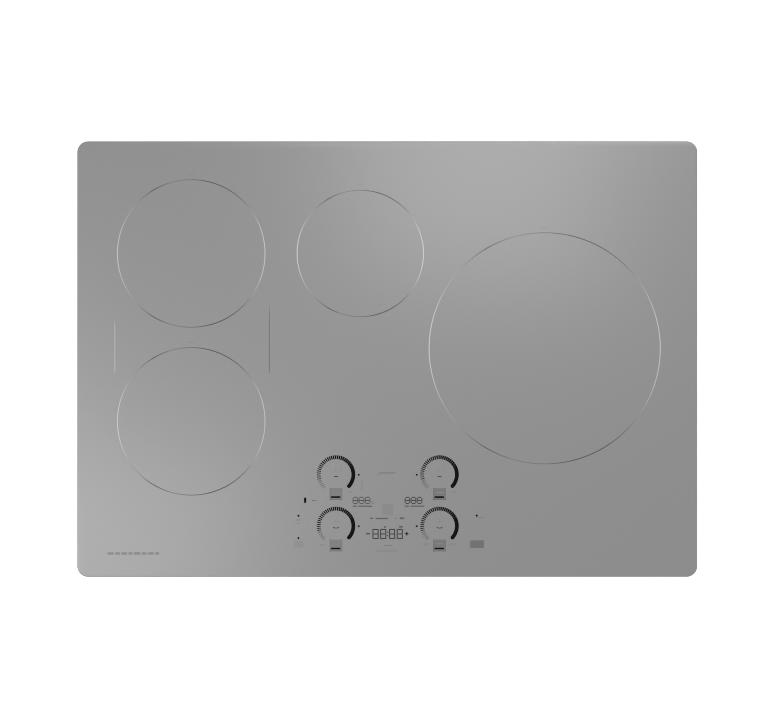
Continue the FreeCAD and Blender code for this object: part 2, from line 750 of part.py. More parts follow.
HEATSINK_WIDTH = 90.0
HEATSINK_HEIGHT = 40.0
HEATSINK_FRONT = -100.0
HEATSINK_REAR = 70.0
FILTER_BOARD = (-85.0, 85.0, 70.0, 190.0)


def standoff_places():
    half = POWER_BOARD_WIDTH / 2 - 6
    places = [(side * FAN_X + dx, y) for side in (-1, 1) for dx in (-half, half)
              for y in (POWER_BOARD_FRONT + 6, 20.0, POWER_BOARD_REAR - 6)]
    x0, x1, y0, y1 = FILTER_BOARD
    return places + [(x, y) for x in (x0 + 6, x1 - 6) for y in (y0 + 6, y1 - 6)]


def board_standoffs():
    return [ring(x, y, 1.6, 3.5, FLOOR_TOP, POWER_BOARD_Z) for x, y in standoff_places()]


def inverter_boards():
    half = POWER_BOARD_WIDTH / 2
    boards = []
    for side in (-1, 1):
        board = box(side * FAN_X - half, side * FAN_X + half, POWER_BOARD_FRONT, POWER_BOARD_REAR,
                    POWER_BOARD_Z, POWER_BOARD_TOP)
        studs = []
        for name, (x, y) in LEAD_ENDS.items():
            if x * side > 0:
                studs += [cylinder(x, y + dy, 3.2, POWER_BOARD_TOP - 0.5, POWER_BOARD_TOP + 6)
                          for dy in (-4, 4)]
        relays = [box(side * FAN_X + dx - 8, side * FAN_X + dx + 8, POWER_BOARD_REAR - 28,
                      POWER_BOARD_REAR - 8, POWER_BOARD_TOP - 0.5, POWER_BOARD_TOP + 18)
                  for dx in (-12.0, 8.0)]
        holes = [cylinder(x, y, 1.6, POWER_BOARD_Z - 1, POWER_BOARD_TOP + 1)
                 for x, y in standoff_places()]
        boards.append(union([board] + studs + relays).cut(holes))
    return boards


def heatsinks():
    fins = 11
    fin_thickness = 2.0
    base = 6.0
    sinks = []
    for side in (-1, 1):
        left = side * FAN_X - HEATSINK_WIDTH / 2
        pitch = (HEATSINK_WIDTH - fin_thickness) / (fins - 1)
        parts = [box(left, left + HEATSINK_WIDTH, HEATSINK_FRONT, HEATSINK_REAR,
                     POWER_BOARD_TOP, POWER_BOARD_TOP + base)]
        for i in range(fins):
            x = left + i * pitch
            parts.append(box(x, x + fin_thickness, HEATSINK_FRONT, HEATSINK_REAR,
                             POWER_BOARD_TOP + base - 0.5, POWER_BOARD_TOP + HEATSINK_HEIGHT))
        sinks.append(union(parts))
    return sinks


def power_transistors():
    """Transistors screwed flat to the outer side of each heatsink, on three legs each."""
    packages = []
    for side in (-1, 1):
        for face in (-1, 1):
            inner = side * FAN_X + face * HEATSINK_WIDTH / 2
            x = sorted((inner, inner + face * 5.0))
            middle = inner + face * 2.5
            for y in (-30.0, 45.0) if face * side < 0 else (-60.0, 0.0, 50.0):
                body = box(x[0], x[1], y - 8, y + 8, POWER_BOARD_TOP + 8, POWER_BOARD_TOP + 29)
                legs = [box(middle - 0.4, middle + 0.4, y + dy - 0.8, y + dy + 0.8, POWER_BOARD_TOP,
                            POWER_BOARD_TOP + 8.5) for dy in (-5.4, 0, 5.4)]
                packages.append(union([body] + legs))
    return packages


def film_capacitors():
    blocks = []
    for side in (-1, 1):
        x = side * (FAN_X + 42)
        blocks.append((x - 15, x + 15, 80, 122, 32))
        blocks.append((side * FAN_X - 24, side * FAN_X + 18, 84, 106, 30))
    blocks.append((30, 62, 86, 104, 26))
    blocks.append((30, 62, 112, 130, 26))
    capacitors = []
    for x0, x1, y0, y1, height in blocks:
        body = slab(x1 - x0, y1 - y0, 1.5, POWER_BOARD_TOP, POWER_BOARD_TOP + height,
                    (x0 + x1) / 2, (y0 + y1) / 2)
        capacitors.append(body)
    return capacitors


def filter_board():
    x0, x1, y0, y1 = FILTER_BOARD
    board = box(x0, x1, y0, y1, POWER_BOARD_Z, POWER_BOARD_TOP)
    connector = box(-12, 12, 72, 80, POWER_BOARD_TOP - 0.5, POWER_BOARD_TOP + 6.0)
    fuse = box(20, 70, 160, 170, POWER_BOARD_TOP - 0.5, POWER_BOARD_TOP + 10)
    holes = [cylinder(x, y, 1.6, POWER_BOARD_Z - 1, POWER_BOARD_TOP + 1) for x, y in standoff_places()]
    return [union([board, connector, fuse]).cut(holes)]


def filter_choke():
    """A toroid stood on edge, with two windings on a base."""
    x = -35.0
    y = 132.0
    base_top = POWER_BOARD_TOP + 3
    middle = base_top + 24
    core = Part.makeCylinder(21, 16, V(x, y - 8, middle), V(0, 1, 0))
    core = core.cut(Part.makeCylinder(11, 20, V(x, y - 10, middle), V(0, 1, 0)))
    turns = []
    for first in (-60, 120):
        for i in range(9):
            angle = math.radians(first + 15 * i)
            centre = V(x + 16 * math.cos(angle), y, middle + 16 * math.sin(angle))
            across = V(-math.sin(angle), 0, math.cos(angle))
            loop = Part.makeCylinder(8.6, 2.6, centre - across * 1.3, across)
            turns.append(loop)
    base = box(x - 26, x + 26, y - 12, y + 12, POWER_BOARD_TOP, base_top + 2)
    return [union([core, base] + turns)]


def terminal_block():
    """A four-way screw terminal for the supply, on a stand."""
    x0 = 262.0
    y0 = 158.0
    top = 40.0
    parts = [box(x0, x0 + 56, y0, y0 + 30, FLOOR_TOP, top - 12)]
    for i in range(5):
        parts.append(box(x0 + 13.5 * i, x0 + 13.5 * i + 2, y0, y0 + 30, top - 13, top))
    parts.append(box(x0, x0 + 56, y0 + 12, y0 + 18, top - 13, top))
    block = union(parts)
    for i in range(4):
        for dy in (6, 24):
            screw_x = x0 + 7.75 + 13.5 * i
            block = block.fuse(cylinder(screw_x, y0 + dy, 3.6, top - 12.5, top - 9))
    return [block.removeSplitter()]


# ---- supply entry ----

def along_y(solid, x, z):
    """A solid built about +Z, laid along +Y through x, z."""
    solid.rotate(ORIGIN, V(1, 0, 0), -90)
    solid.translate(V(x, 0, z))
    return solid


def gland_wall():
    return CASE_DEPTH / 2 - POCKET_DEPTH


def conduit_gland():
    wall = gland_wall()
    thread = cylinder(0, 0, 11, wall - 12, wall + 1)
    collar = hexagon(0, 0, 27, wall, wall + 6)
    nut = hexagon(0, 0, 27, wall + 6.5, wall + 17)
    neck = cylinder(0, 0, 12, wall + 5, wall + 8)
    dome = Part.makeCone(13, 10.5, 7, V(0, 0, wall + 17))
    body = union([thread, collar, neck, nut, dome])
    body = body.cut(cylinder(0, 0, GLAND_BORE, wall - 20, wall + 30))
    return [along_y(body, GLAND_X, GLAND_Z)]


def gland_locknut():
    wall = gland_wall() - SHEET
    nut = hexagon(0, 0, 28, wall - 5, wall).cut(cylinder(0, 0, 11.05, wall - 8, wall + 3))
    return [along_y(nut, GLAND_X, GLAND_Z)]


# ---- cooling fans ----

FAN_BORE = 43.5
FAN_HUB = 18.0
BLADES = 7


def fan_frames():
    frames = []
    for x in (-FAN_X, FAN_X):
        top = FLOOR_TOP + FAN_HEIGHT
        frame = slab(FAN_SIZE, FAN_SIZE, 5, FLOOR_TOP, top, x, FAN_Y)
        cuts = [cylinder(x, FAN_Y, FAN_BORE, FLOOR_TOP - 1, top + 1)]
        hole = FAN_SIZE / 2 - 5
        for sx in (-1, 1):
            for sy in (-1, 1):
                cuts.append(cylinder(x + sx * hole, FAN_Y + sy * hole, 2.2, FLOOR_TOP - 1, top + 1))
        frame = frame.cut(cuts)
        parts = [frame, cylinder(x, FAN_Y, FAN_HUB, FLOOR_TOP, FLOOR_TOP + 2)]
        parts.append(cylinder(x, FAN_Y, 2.0, FLOOR_TOP + 1, FLOOR_TOP + 12))
        for i in range(4):
            spoke = box(x + FAN_HUB - 2, x + FAN_BORE + 1, FAN_Y - 2, FAN_Y + 2,
                        FLOOR_TOP, FLOOR_TOP + 2)
            parts.append(turned(spoke, x, FAN_Y, 45 + 90 * i))
        frames.append(union(parts))
    return frames


def fan_rotor(x):
    """A hub with seven pitched blades, on the frame's pin."""
    bottom = FLOOR_TOP + 3
    top = FLOOR_TOP + FAN_HEIGHT - 1.5
    middle = (bottom + top) / 2
    half = 0.7
    hub = cylinder(x, FAN_Y, FAN_HUB, bottom, top)
    hub = hub.makeFillet(2, edges_at(hub, top))
    blades = []
    for i in range(BLADES):
        sections = []
        for radius, pitch, chord in ((FAN_HUB - 2, 48.0, 22.0), (30.0, 40.0, 26.0),
                                     (42.0, 30.0, 30.0)):
            c = math.cos(math.radians(pitch)) * chord / 2
            s = math.sin(math.radians(pitch)) * chord / 2
            corners = [V(x + radius, FAN_Y + side * c, middle + side * s + face * half)
                       for side, face in ((-1, -1), (-1, 1), (1, 1), (1, -1))]
            sections.append(Part.makePolygon(corners + corners[:1]))
        blade = Part.makeLoft(sections, True, True)
        blades.append(turned(blade, x, FAN_Y, 360.0 * i / BLADES))
    rotor = union([hub] + blades)
    sweep = cylinder(x, FAN_Y, FAN_BORE - 1, bottom, top)
    bore = cylinder(x, FAN_Y, 2.0 + RUNNING_CLEARANCE, bottom - 1, FLOOR_TOP + 12.5)
    return [rotor.common(sweep).cut(bore)]


def air_ducts():
    """A hood over each fan that turns its air back through the heatsink."""
    wall = 1.6
    half = FAN_SIZE / 2 + 3
    sill = FLOOR_TOP + FAN_HEIGHT + 0.5
    ceiling = 64.0
    outlet_y = FAN_Y + 78
    low = POWER_BOARD_TOP + 5
    front = FAN_Y - half
    back = FAN_Y + half
    outside = [(front, sill), (front, sill + 9), (front + 30, ceiling), (outlet_y, ceiling),
               (outlet_y, low), (back, low), (back, sill)]
    inside = [(front + wall, sill - 5), (front + wall, sill + 8.3), (front + 30.7, ceiling - wall),
              (outlet_y + 5, ceiling - wall), (outlet_y + 5, low + wall), (back + wall, low + wall),
              (back + wall, sill + wall), (back - wall, sill + wall), (back - wall, sill - 5)]
    ducts = []
    for x in (-FAN_X, FAN_X):
        shell = polygon_prism([V(x - half, y, z) for y, z in outside], V(2 * half, 0, 0))
        air = polygon_prism([V(x - half + wall, y, z) for y, z in inside], V(2 * (half - wall), 0, 0))
        ducts.append(shell.cut(air))
    return ducts


# ---- hold-down clamps ----

NUT_HEIGHT = 5.0
KNOB_RADIUS = 7.0
KNOB_BOTTOM = 6.0
KNOB_TOP = 14.0
PAD_RADIUS = 6.0
PAD_THICKNESS = 6.0


def hold_down_brackets():
    """A steel angle on each side wall, with a welded nut for its clamp screw."""
    wall = CASE_WIDTH / 2
    arm_end = 6.5
    arm_top = CLAMP_ARM_Z + BRACKET_SHEET
    plate = box(wall, wall + BRACKET_SHEET, -BRACKET_HALF, BRACKET_HALF, CLAMP_ARM_Z, BRACKET_TOP)
    arm_points = [V(wall, -BRACKET_HALF, CLAMP_ARM_Z), V(CLAMP_X, -arm_end, CLAMP_ARM_Z),
                  V(CLAMP_X, arm_end, CLAMP_ARM_Z), V(wall, BRACKET_HALF, CLAMP_ARM_Z)]
    arm = polygon_prism(arm_points, V(0, 0, BRACKET_SHEET))
    tip = cylinder(CLAMP_X, 0, arm_end, CLAMP_ARM_Z, arm_top)
    nut = hexagon(CLAMP_X, 0, 10, arm_top - 0.5, arm_top + NUT_HEIGHT)
    bracket = union([plate, arm, tip, nut])
    hole = cylinder(CLAMP_X, 0, THREAD_RADIUS + RUNNING_CLEARANCE, CLAMP_ARM_Z - 1,
                    arm_top + NUT_HEIGHT + 1)
    holes = [screw_hole(*place) for place in BRACKET_SCREWS if place[0] > 0]
    bracket = bracket.cut([hole] + holes)
    return [mirrored(bracket), bracket]


def clamp_screw(side):
    """A long screw with a fluted knob at its foot; its thread is drawn as a plain shank."""
    pad_bottom = CLAMP_PAD_TOP - PAD_THICKNESS
    shank = cylinder(CLAMP_X, 0, THREAD_RADIUS, KNOB_BOTTOM + 1, pad_bottom + 2.5)
    knob = cylinder(CLAMP_X, 0, KNOB_RADIUS, KNOB_BOTTOM, KNOB_TOP)
    knob = knob.makeFillet(1.0, edges_at(knob, KNOB_BOTTOM) + edges_at(knob, KNOB_TOP))
    flutes = [turned(cylinder(CLAMP_X + KNOB_RADIUS + 0.7, 0, 1.6, KNOB_BOTTOM - 1, KNOB_TOP + 1),
                     CLAMP_X, 0, 36 * i) for i in range(10)]
    screw = union([shank, knob.cut(flutes)])
    return [screw if side > 0 else mirrored(screw)]


def clamp_pad(side):
    """The pad that presses up under the worktop, free to swivel on the screw's tip."""
    bottom = CLAMP_PAD_TOP - PAD_THICKNESS
    pad = cylinder(CLAMP_X, 0, PAD_RADIUS, bottom, CLAMP_PAD_TOP)
    pad = pad.makeChamfer(1.0, edges_at(pad, CLAMP_PAD_TOP))
    socket = cylinder(CLAMP_X, 0, THREAD_RADIUS + 0.3, bottom - 1, bottom + 2.8)
    pad = pad.cut(socket)
    return [pad if side > 0 else mirrored(pad)]


# ---- write every piece ----

os.makedirs("parts", exist_ok=True)

for make in (glass_top, edge_gasket, silicone_bond, support_frame, case_screws, base_pan,
             rating_plate, coil_deck, deck_rails, touch_board_tray, touch_board, timer_display,
             zone_displays, dial_light_guides, touch_springs, control_ribbon_cable, board_standoffs,
             inverter_boards, heatsinks, power_transistors, film_capacitors, filter_board,
             filter_choke, terminal_block, conduit_gland, gland_locknut, fan_frames, air_ducts,
             hold_down_brackets, coil_leads):
    save(make.__name__, make())

for zone in ZONES:
    save(zone + "_coil_carrier", carrier(zone))
    save(zone + "_coil_ferrites", ferrites(zone))
    save(zone + "_coil_winding", winding(zone))
    save(zone + "_coil_insulation", insulation(zone))
    save(zone + "_coil_springs", coil_springs(zone))
    save(zone + "_temperature_sensor", sensor(zone))

for hand, direction in (("left", -1), ("right", 1)):
    save("fan_rotor_" + hand, fan_rotor(direction * FAN_X))
    save("clamp_screw_" + hand, clamp_screw(direction))
    save("clamp_pad_" + hand, clamp_pad(direction))
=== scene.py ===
import math

import bmesh
import bpy
from mathutils import Matrix, Vector


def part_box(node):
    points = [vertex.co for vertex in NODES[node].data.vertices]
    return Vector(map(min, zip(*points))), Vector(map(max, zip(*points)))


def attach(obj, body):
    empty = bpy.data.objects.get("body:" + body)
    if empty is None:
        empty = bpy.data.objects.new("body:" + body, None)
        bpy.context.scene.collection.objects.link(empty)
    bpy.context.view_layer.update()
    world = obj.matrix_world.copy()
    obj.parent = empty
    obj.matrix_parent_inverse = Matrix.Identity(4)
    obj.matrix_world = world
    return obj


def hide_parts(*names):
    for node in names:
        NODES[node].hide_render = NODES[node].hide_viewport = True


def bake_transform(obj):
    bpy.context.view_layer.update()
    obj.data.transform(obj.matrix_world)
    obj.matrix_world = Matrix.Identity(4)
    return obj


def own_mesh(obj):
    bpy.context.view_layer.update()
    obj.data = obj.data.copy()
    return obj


# A drop-in induction cooktop, seen from straight above on a white studio floor. Metres throughout.

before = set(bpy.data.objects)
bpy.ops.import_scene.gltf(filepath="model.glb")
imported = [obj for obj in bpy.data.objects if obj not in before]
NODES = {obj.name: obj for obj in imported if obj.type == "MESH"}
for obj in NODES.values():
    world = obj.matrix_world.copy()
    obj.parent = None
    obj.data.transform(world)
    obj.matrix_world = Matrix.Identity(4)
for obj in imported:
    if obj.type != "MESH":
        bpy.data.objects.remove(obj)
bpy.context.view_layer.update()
MM = 0.001

GLASS_LOW, GLASS_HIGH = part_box("glass_top")
GLASS_TOP = GLASS_HIGH.z
ZONE_NAMES = ("left_rear", "left_front", "center_rear", "right")


def middle(node):
    low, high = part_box(node)
    return (low + high) / 2


# ---------------------------------------------------------------- materials

NOISE_ROUGHNESS = 0.55


class Surface:
    """A procedural material: one Principled shader and short calls for the nodes that feed it."""

    def __init__(self, name, color, roughness, metallic=0.0, **constants):
        self.material = bpy.data.materials.new(name)
        self.material.use_nodes = True
        self.tree = self.material.node_tree
        self.shader = self.tree.nodes["Principled BSDF"]
        self.shader.inputs["Base Color"].default_value = (*color, 1.0)
        self.shader.inputs["Roughness"].default_value = roughness
        self.shader.inputs["Metallic"].default_value = metallic
        for socket, value in constants.items():
            self.shader.inputs[socket.replace("_", " ")].default_value = value
        self.color = color
        self.roughness = roughness
        self.place = self.node("TexCoord").outputs["Object"]
        self.bumped = None

    def node(self, kind, **settings):
        made = self.tree.nodes.new("ShaderNode" + kind)
        for key, value in settings.items():
            setattr(made, key, value)
        return made

    def link(self, source, target):
        self.tree.links.new(source, target)

    def stretched(self, stretch):
        """Object coordinates scaled by three factors, so that a pattern runs along one axis."""
        mapping = self.node("Mapping")
        mapping.inputs["Scale"].default_value = stretch
        self.link(self.place, mapping.inputs["Vector"])
        return mapping.outputs["Vector"]

    def noise(self, scale, detail=3.0, stretch=(1, 1, 1)):
        texture = self.node("TexNoise")
        texture.inputs["Scale"].default_value = scale
        texture.inputs["Detail"].default_value = detail
        texture.inputs["Roughness"].default_value = NOISE_ROUGHNESS
        self.link(self.stretched(stretch), texture.inputs["Vector"])
        return texture.outputs["Fac"]

    def cells(self, scale, stretch=(1, 1, 1), **settings):
        texture = self.node("TexVoronoi")
        for socket, value in {"Scale": scale, **settings}.items():
            texture.inputs[socket].default_value = value
        self.link(self.stretched(stretch), texture.inputs["Vector"])
        return texture.outputs

    def channels(self, color):
        """The three parts of a colour output."""
        node = self.node("SeparateColor")
        self.link(color, node.inputs[0])
        return node.outputs

    def bands(self, scale, direction):
        texture = self.node("TexWave", bands_direction=direction)
        texture.inputs["Scale"].default_value = scale
        self.link(self.place, texture.inputs["Vector"])
        return texture.outputs["Fac"]

    def remap(self, source, low, high, start=0.0, end=1.0):
        """The source's start..end mapped to low..high and held there."""
        node = self.node("MapRange")
        node.inputs["From Min"].default_value = start
        node.inputs["From Max"].default_value = end
        node.inputs["To Min"].default_value = low
        node.inputs["To Max"].default_value = high
        self.link(source, node.inputs["Value"])
        return node.outputs["Result"]

    def ramp(self, source, stops):
        """A colour ramp from (position, grey or colour) stops."""
        node = self.node("ValToRGB")
        elements = node.color_ramp.elements
        while len(elements) < len(stops):
            elements.new(0.5)
        for element, (position, color) in zip(elements, stops):
            element.position = position
            rgb = color if isinstance(color, tuple) else (color, color, color)
            element.color = (*rgb, 1.0)
        self.link(source, node.inputs["Fac"])
        return node.outputs["Color"]

    def mix(self, factor, first, second):
        """Two colours, or colour outputs, mixed by a factor output."""
        node = self.node("Mix", data_type="RGBA")
        self.link(factor, node.inputs[0])
        for value, socket in ((first, node.inputs[6]), (second, node.inputs[7])):
            if isinstance(value, tuple):
                socket.default_value = (*value, 1.0)
            else:
                self.link(value, socket)
        return node.outputs[2]

    def shade(self, source, amount):
        """Base colour varied by plus or minus a share, following a 0..1 source."""
        dark = tuple(c * (1 - amount) for c in self.color)
        light = tuple(min(1.0, c * (1 + amount)) for c in self.color)
        self.link(self.mix(self.remap(source, 0, 1, 0.25, 0.75), dark, light),
                  self.shader.inputs["Base Color"])
        return self

    def paint(self, output):
        self.link(output, self.shader.inputs["Base Color"])
        return self

    def rough(self, source, spread):
        self.link(self.remap(source, max(0.02, self.roughness - spread), self.roughness + spread,
                             0.25, 0.75), self.shader.inputs["Roughness"])
        return self

    def bump(self, source, strength, depth):
        """Relief from a 0..1 source, depth in metres, on top of any relief already there."""
        node = self.node("Bump")
        node.inputs["Strength"].default_value = strength
        node.inputs["Distance"].default_value = depth
        self.link(source, node.inputs["Height"])
        if self.bumped:
            self.link(self.bumped, node.inputs["Normal"])
        self.bumped = node.outputs["Normal"]
        self.link(self.bumped, self.shader.inputs["Normal"])
        return self


GLASS_TONE = 0.376


def glass_finish(name, share=1.0):
    """Glass-ceramic with a fine metallic backing, or the share of it that shows through a veil of ink."""
    tone = GLASS_TONE * share
    s = Surface(name, (tone, tone, tone), 0.30, metallic=0.55,
                Coat_Weight=1.0, Coat_Roughness=0.2, Coat_IOR=1.5)
    s.rough(s.noise(900, detail=2.0), 0.02)
    return s


def silver_glass():
    """Even grey with very fine flake, a soft sheen and a clear polished face."""
    s = glass_finish("silver_glass")
    s.shade(s.noise(5200, detail=1.0), 0.04)
    return s.material


def veil_ink(name, share):
    """Thin ink that only shades the glass under it, with the faint mottle of a screen print."""
    s = glass_finish(name, share)
    s.shade(s.noise(2600, detail=2.0), 0.05)
    return s.material


def ring_ink_painted_sheen():
    """Metallic ink with a painted sheen: its base colour is painted light at the sides of a ring and dark at
    front and rear.
    """
    s = glass_finish("ring_ink_painted_sheen")
    flat = s.node("VectorMath", operation="MULTIPLY")
    flat.inputs[1].default_value = (1, 1, 0)
    s.link(s.place, flat.inputs[0])
    unit = s.node("VectorMath", operation="NORMALIZE")
    s.link(flat.outputs[0], unit.inputs[0])
    parts = s.node("SeparateXYZ")
    s.link(unit.outputs[0], parts.inputs[0])
    across = s.remap(parts.outputs["X"], 0, 1, -1, 1)
    # Painted sheen: shares of the glass tone round the ring, a painted highlight at the sides and painted
    # shade at front and rear.
    painted_sheen_shares = ((0.00, 2.05), (0.02, 1.80), (0.07, 1.30), (0.15, 0.88), (0.25, 0.27), (0.37, 0.75),
              (0.50, 0.62), (0.63, 0.26), (0.75, 0.25), (0.85, 0.55), (0.93, 1.20), (0.98, 1.75),
              (1.00, 1.90))
    s.paint(s.ramp(across, [(at, GLASS_TONE * share) for at, share in painted_sheen_shares]))
    return s.material


def black_ink():
    """Dense fired enamel, almost without gloss."""
    s = Surface("black_ink", (0.003, 0.003, 0.003), 0.5, Specular_IOR_Level=0.1)
    s.shade(s.noise(2600, detail=2.0), 0.3)
    return s.material


def metal(name, color, roughness, grain=(1, 1, 1), scale=900, depth=0.00002, **constants):
    """Metal with drawn or rolled grain along one axis and slight handling marks."""
    s = Surface(name, color, roughness, metallic=1.0, **constants)
    grain_noise = s.noise(scale, detail=4.0, stretch=grain)
    s.shade(s.noise(14, detail=4.0), 0.07)
    s.rough(grain_noise, 0.08)
    s.bump(grain_noise, 0.25, depth)
    return s.material


def zinc_sheet():
    """Galvanised sheet: feathered spangles, each with its own brightness, under a dull bloom."""
    s = Surface("zinc_sheet", (0.42, 0.43, 0.44), 0.38, metallic=1.0)
    frayed = s.node("VectorMath", operation="MULTIPLY_ADD")
    fray = s.node("TexNoise")
    fray.inputs["Scale"].default_value = 260
    fray.inputs["Detail"].default_value = 3
    s.link(s.place, fray.inputs["Vector"])
    s.link(fray.outputs["Color"], frayed.inputs[0])
    frayed.inputs[1].default_value = (0.007, 0.007, 0.007)
    s.link(s.place, frayed.inputs[2])
    spangle = s.node("TexVoronoi")
    spangle.inputs["Scale"].default_value = 150
    s.link(frayed.outputs[0], spangle.inputs["Vector"])
    parts = s.channels(spangle.outputs["Color"])
    bloom = s.remap(s.noise(9, detail=5.0), 0, 1, 0.35, 0.75)
    crystal = s.mix(parts[0], (0.375, 0.380, 0.390), (0.475, 0.480, 0.490))
    plain = s.mix(parts[1], (0.335, 0.340, 0.345), (0.420, 0.425, 0.430))
    s.paint(s.mix(bloom, plain, crystal))
    s.link(s.remap(parts[2], 0.27, 0.44), s.shader.inputs["Roughness"])
    s.bump(s.noise(420, detail=3.0), 0.15, 0.00004)
    return s.material


def moulded(name, color, roughness=0.55, grain=1400, depth=0.00003):
    """Moulded plastic with a fine spark-eroded texture."""
    s = Surface(name, color, roughness)
    texture = s.noise(grain, detail=3.0)
    s.shade(s.noise(30, detail=3.0), 0.08)
    s.rough(s.noise(220, detail=2.0), 0.06)
    s.bump(texture, 0.35, depth)
    return s.material


def foam():
    """Closed-cell foam tape: small open bubbles on the cut faces."""
    s = Surface("foam_tape", (0.028, 0.028, 0.030), 0.85)
    bubbles = s.cells(1500)["Distance"]
    s.shade(bubbles, 0.35)
    s.bump(bubbles, 0.6, 0.0002)
    return s.material


def rubber(name, color=(0.03, 0.03, 0.032)):
    s = Surface(name, color, 0.7)
    s.shade(s.noise(60, detail=3.0), 0.15)
    s.bump(s.noise(1800, detail=2.0), 0.4, 0.00004)
    return s.material


TRACKS = {"Scale": 60, "Brick Width": 1.3, "Row Height": 0.12, "Mortar Size": 0.022, "Mortar Smooth": 0.2}
PADS_PER_METRE = 394


def circuit_board():
    """Green solder mask over copper tracks that run along and across, with bare tinned pads."""
    s = Surface("circuit_board", (0.012, 0.075, 0.035), 0.32, Coat_Weight=0.4, Coat_Roughness=0.1)
    tracks = []
    for turn in (0, math.pi / 2):
        turned = s.node("Mapping")
        turned.inputs["Rotation"].default_value = (0, 0, turn)
        s.link(s.place, turned.inputs["Vector"])
        brick = s.node("TexBrick")
        for socket, value in TRACKS.items():
            brick.inputs[socket].default_value = value
        s.link(turned.outputs["Vector"], brick.inputs["Vector"])
        tracks.append(brick.outputs["Fac"])
    regions = s.remap(s.noise(34, detail=1.0), 0, 1, 0.48, 0.52)
    gap = s.node("Mix", data_type="FLOAT")
    for source, socket in zip((regions, tracks[0], tracks[1]), gap.inputs[0:1] + gap.inputs[2:4]):
        s.link(source, socket)
    green = s.mix(gap.outputs[0], (0.020, 0.120, 0.050), (0.008, 0.052, 0.024))
    drilled = s.remap(s.cells(PADS_PER_METRE, Randomness=0.0)["Distance"], 1, 0, 0.26, 0.30)
    chosen = s.remap(s.noise(120, detail=2.0), 0, 1, 0.60, 0.62)
    pads = s.node("Math", operation="MULTIPLY")
    s.link(drilled, pads.inputs[0])
    s.link(chosen, pads.inputs[1])
    s.paint(s.mix(pads.outputs[0], green, (0.58, 0.58, 0.55)))
    s.bump(gap.outputs[0], 0.3, 0.00004)
    return s.material


def litz():
    """Copper litz wire: enamelled strands laid in a long twist under lacquer."""
    s = Surface("copper_litz", (0.52, 0.20, 0.08), 0.38, metallic=0.85,
                Coat_Weight=0.5, Coat_Roughness=0.2)
    strands = s.noise(2600, detail=2.0)
    s.shade(strands, 0.35)
    s.rough(strands, 0.1)
    s.bump(strands, 0.6, 0.00015)
    return s.material


def ferrite():
    s = Surface("ferrite", (0.055, 0.055, 0.060), 0.5, metallic=0.3)
    s.shade(s.noise(700, detail=5.0), 0.3)
    s.bump(s.noise(1300, detail=4.0), 0.3, 0.00008)
    return s.material


def mica():
    """Bonded mica sheet: overlapping pale flakes in a tan binder."""
    s = Surface("mica_sheet", (0.52, 0.42, 0.28), 0.42, Coat_Weight=0.25, Coat_Roughness=0.25)
    flakes = s.channels(s.cells(260, stretch=(1, 0.6, 1))["Color"])
    s.paint(s.mix(flakes[0], (0.40, 0.31, 0.19), (0.66, 0.57, 0.42)))
    s.link(s.remap(flakes[1], 0.25, 0.6), s.shader.inputs["Roughness"])
    return s.material


def ceramic():
    s = Surface("white_ceramic", (0.80, 0.78, 0.72), 0.35)
    s.shade(s.noise(400, detail=4.0), 0.06)
    s.bump(s.noise(900, detail=3.0), 0.15, 0.00004)
    return s.material


def braided(name, color):
    """Glass-fibre sleeving: a fine diagonal weave."""
    s = Surface(name, color, 0.75, Sheen_Weight=0.3, Sheen_Roughness=0.5)
    slanted = s.bands(900, "DIAGONAL")
    s.shade(slanted, 0.25)
    s.bump(slanted, 0.5, 0.0002)
    s.bump(s.bands(900, "X"), 0.4, 0.0002)
    return s.material


def clear_plastic():
    s = Surface("light_guide", (0.86, 0.90, 0.93), 0.12, Transmission_Weight=0.35, IOR=1.49)
    s.shade(s.noise(80, detail=2.0), 0.05)
    s.rough(s.noise(300, detail=2.0), 0.05)
    return s.material


FLOOR_GLOW = 0.85


def studio_floor():
    """A white sweep that stays white under the object's soft shadow, and is clear from underneath."""
    s = Surface("studio_floor", (0.86, 0.86, 0.86), 0.9)
    s.shade(s.noise(40, detail=3.0), 0.01)
    clear = s.node("BsdfTransparent")
    either = s.node("MixShader")
    s.link(s.node("NewGeometry").outputs["Backfacing"], either.inputs[0])
    s.link(s.shader.outputs[0], either.inputs[1])
    s.link(clear.outputs[0], either.inputs[2])
    s.link(either.outputs[0], s.tree.nodes["Material Output"].inputs["Surface"])
    s.shader.inputs["Emission Color"].default_value = (1, 1, 1, 1)
    s.shader.inputs["Emission Strength"].default_value = FLOOR_GLOW
    return s.material


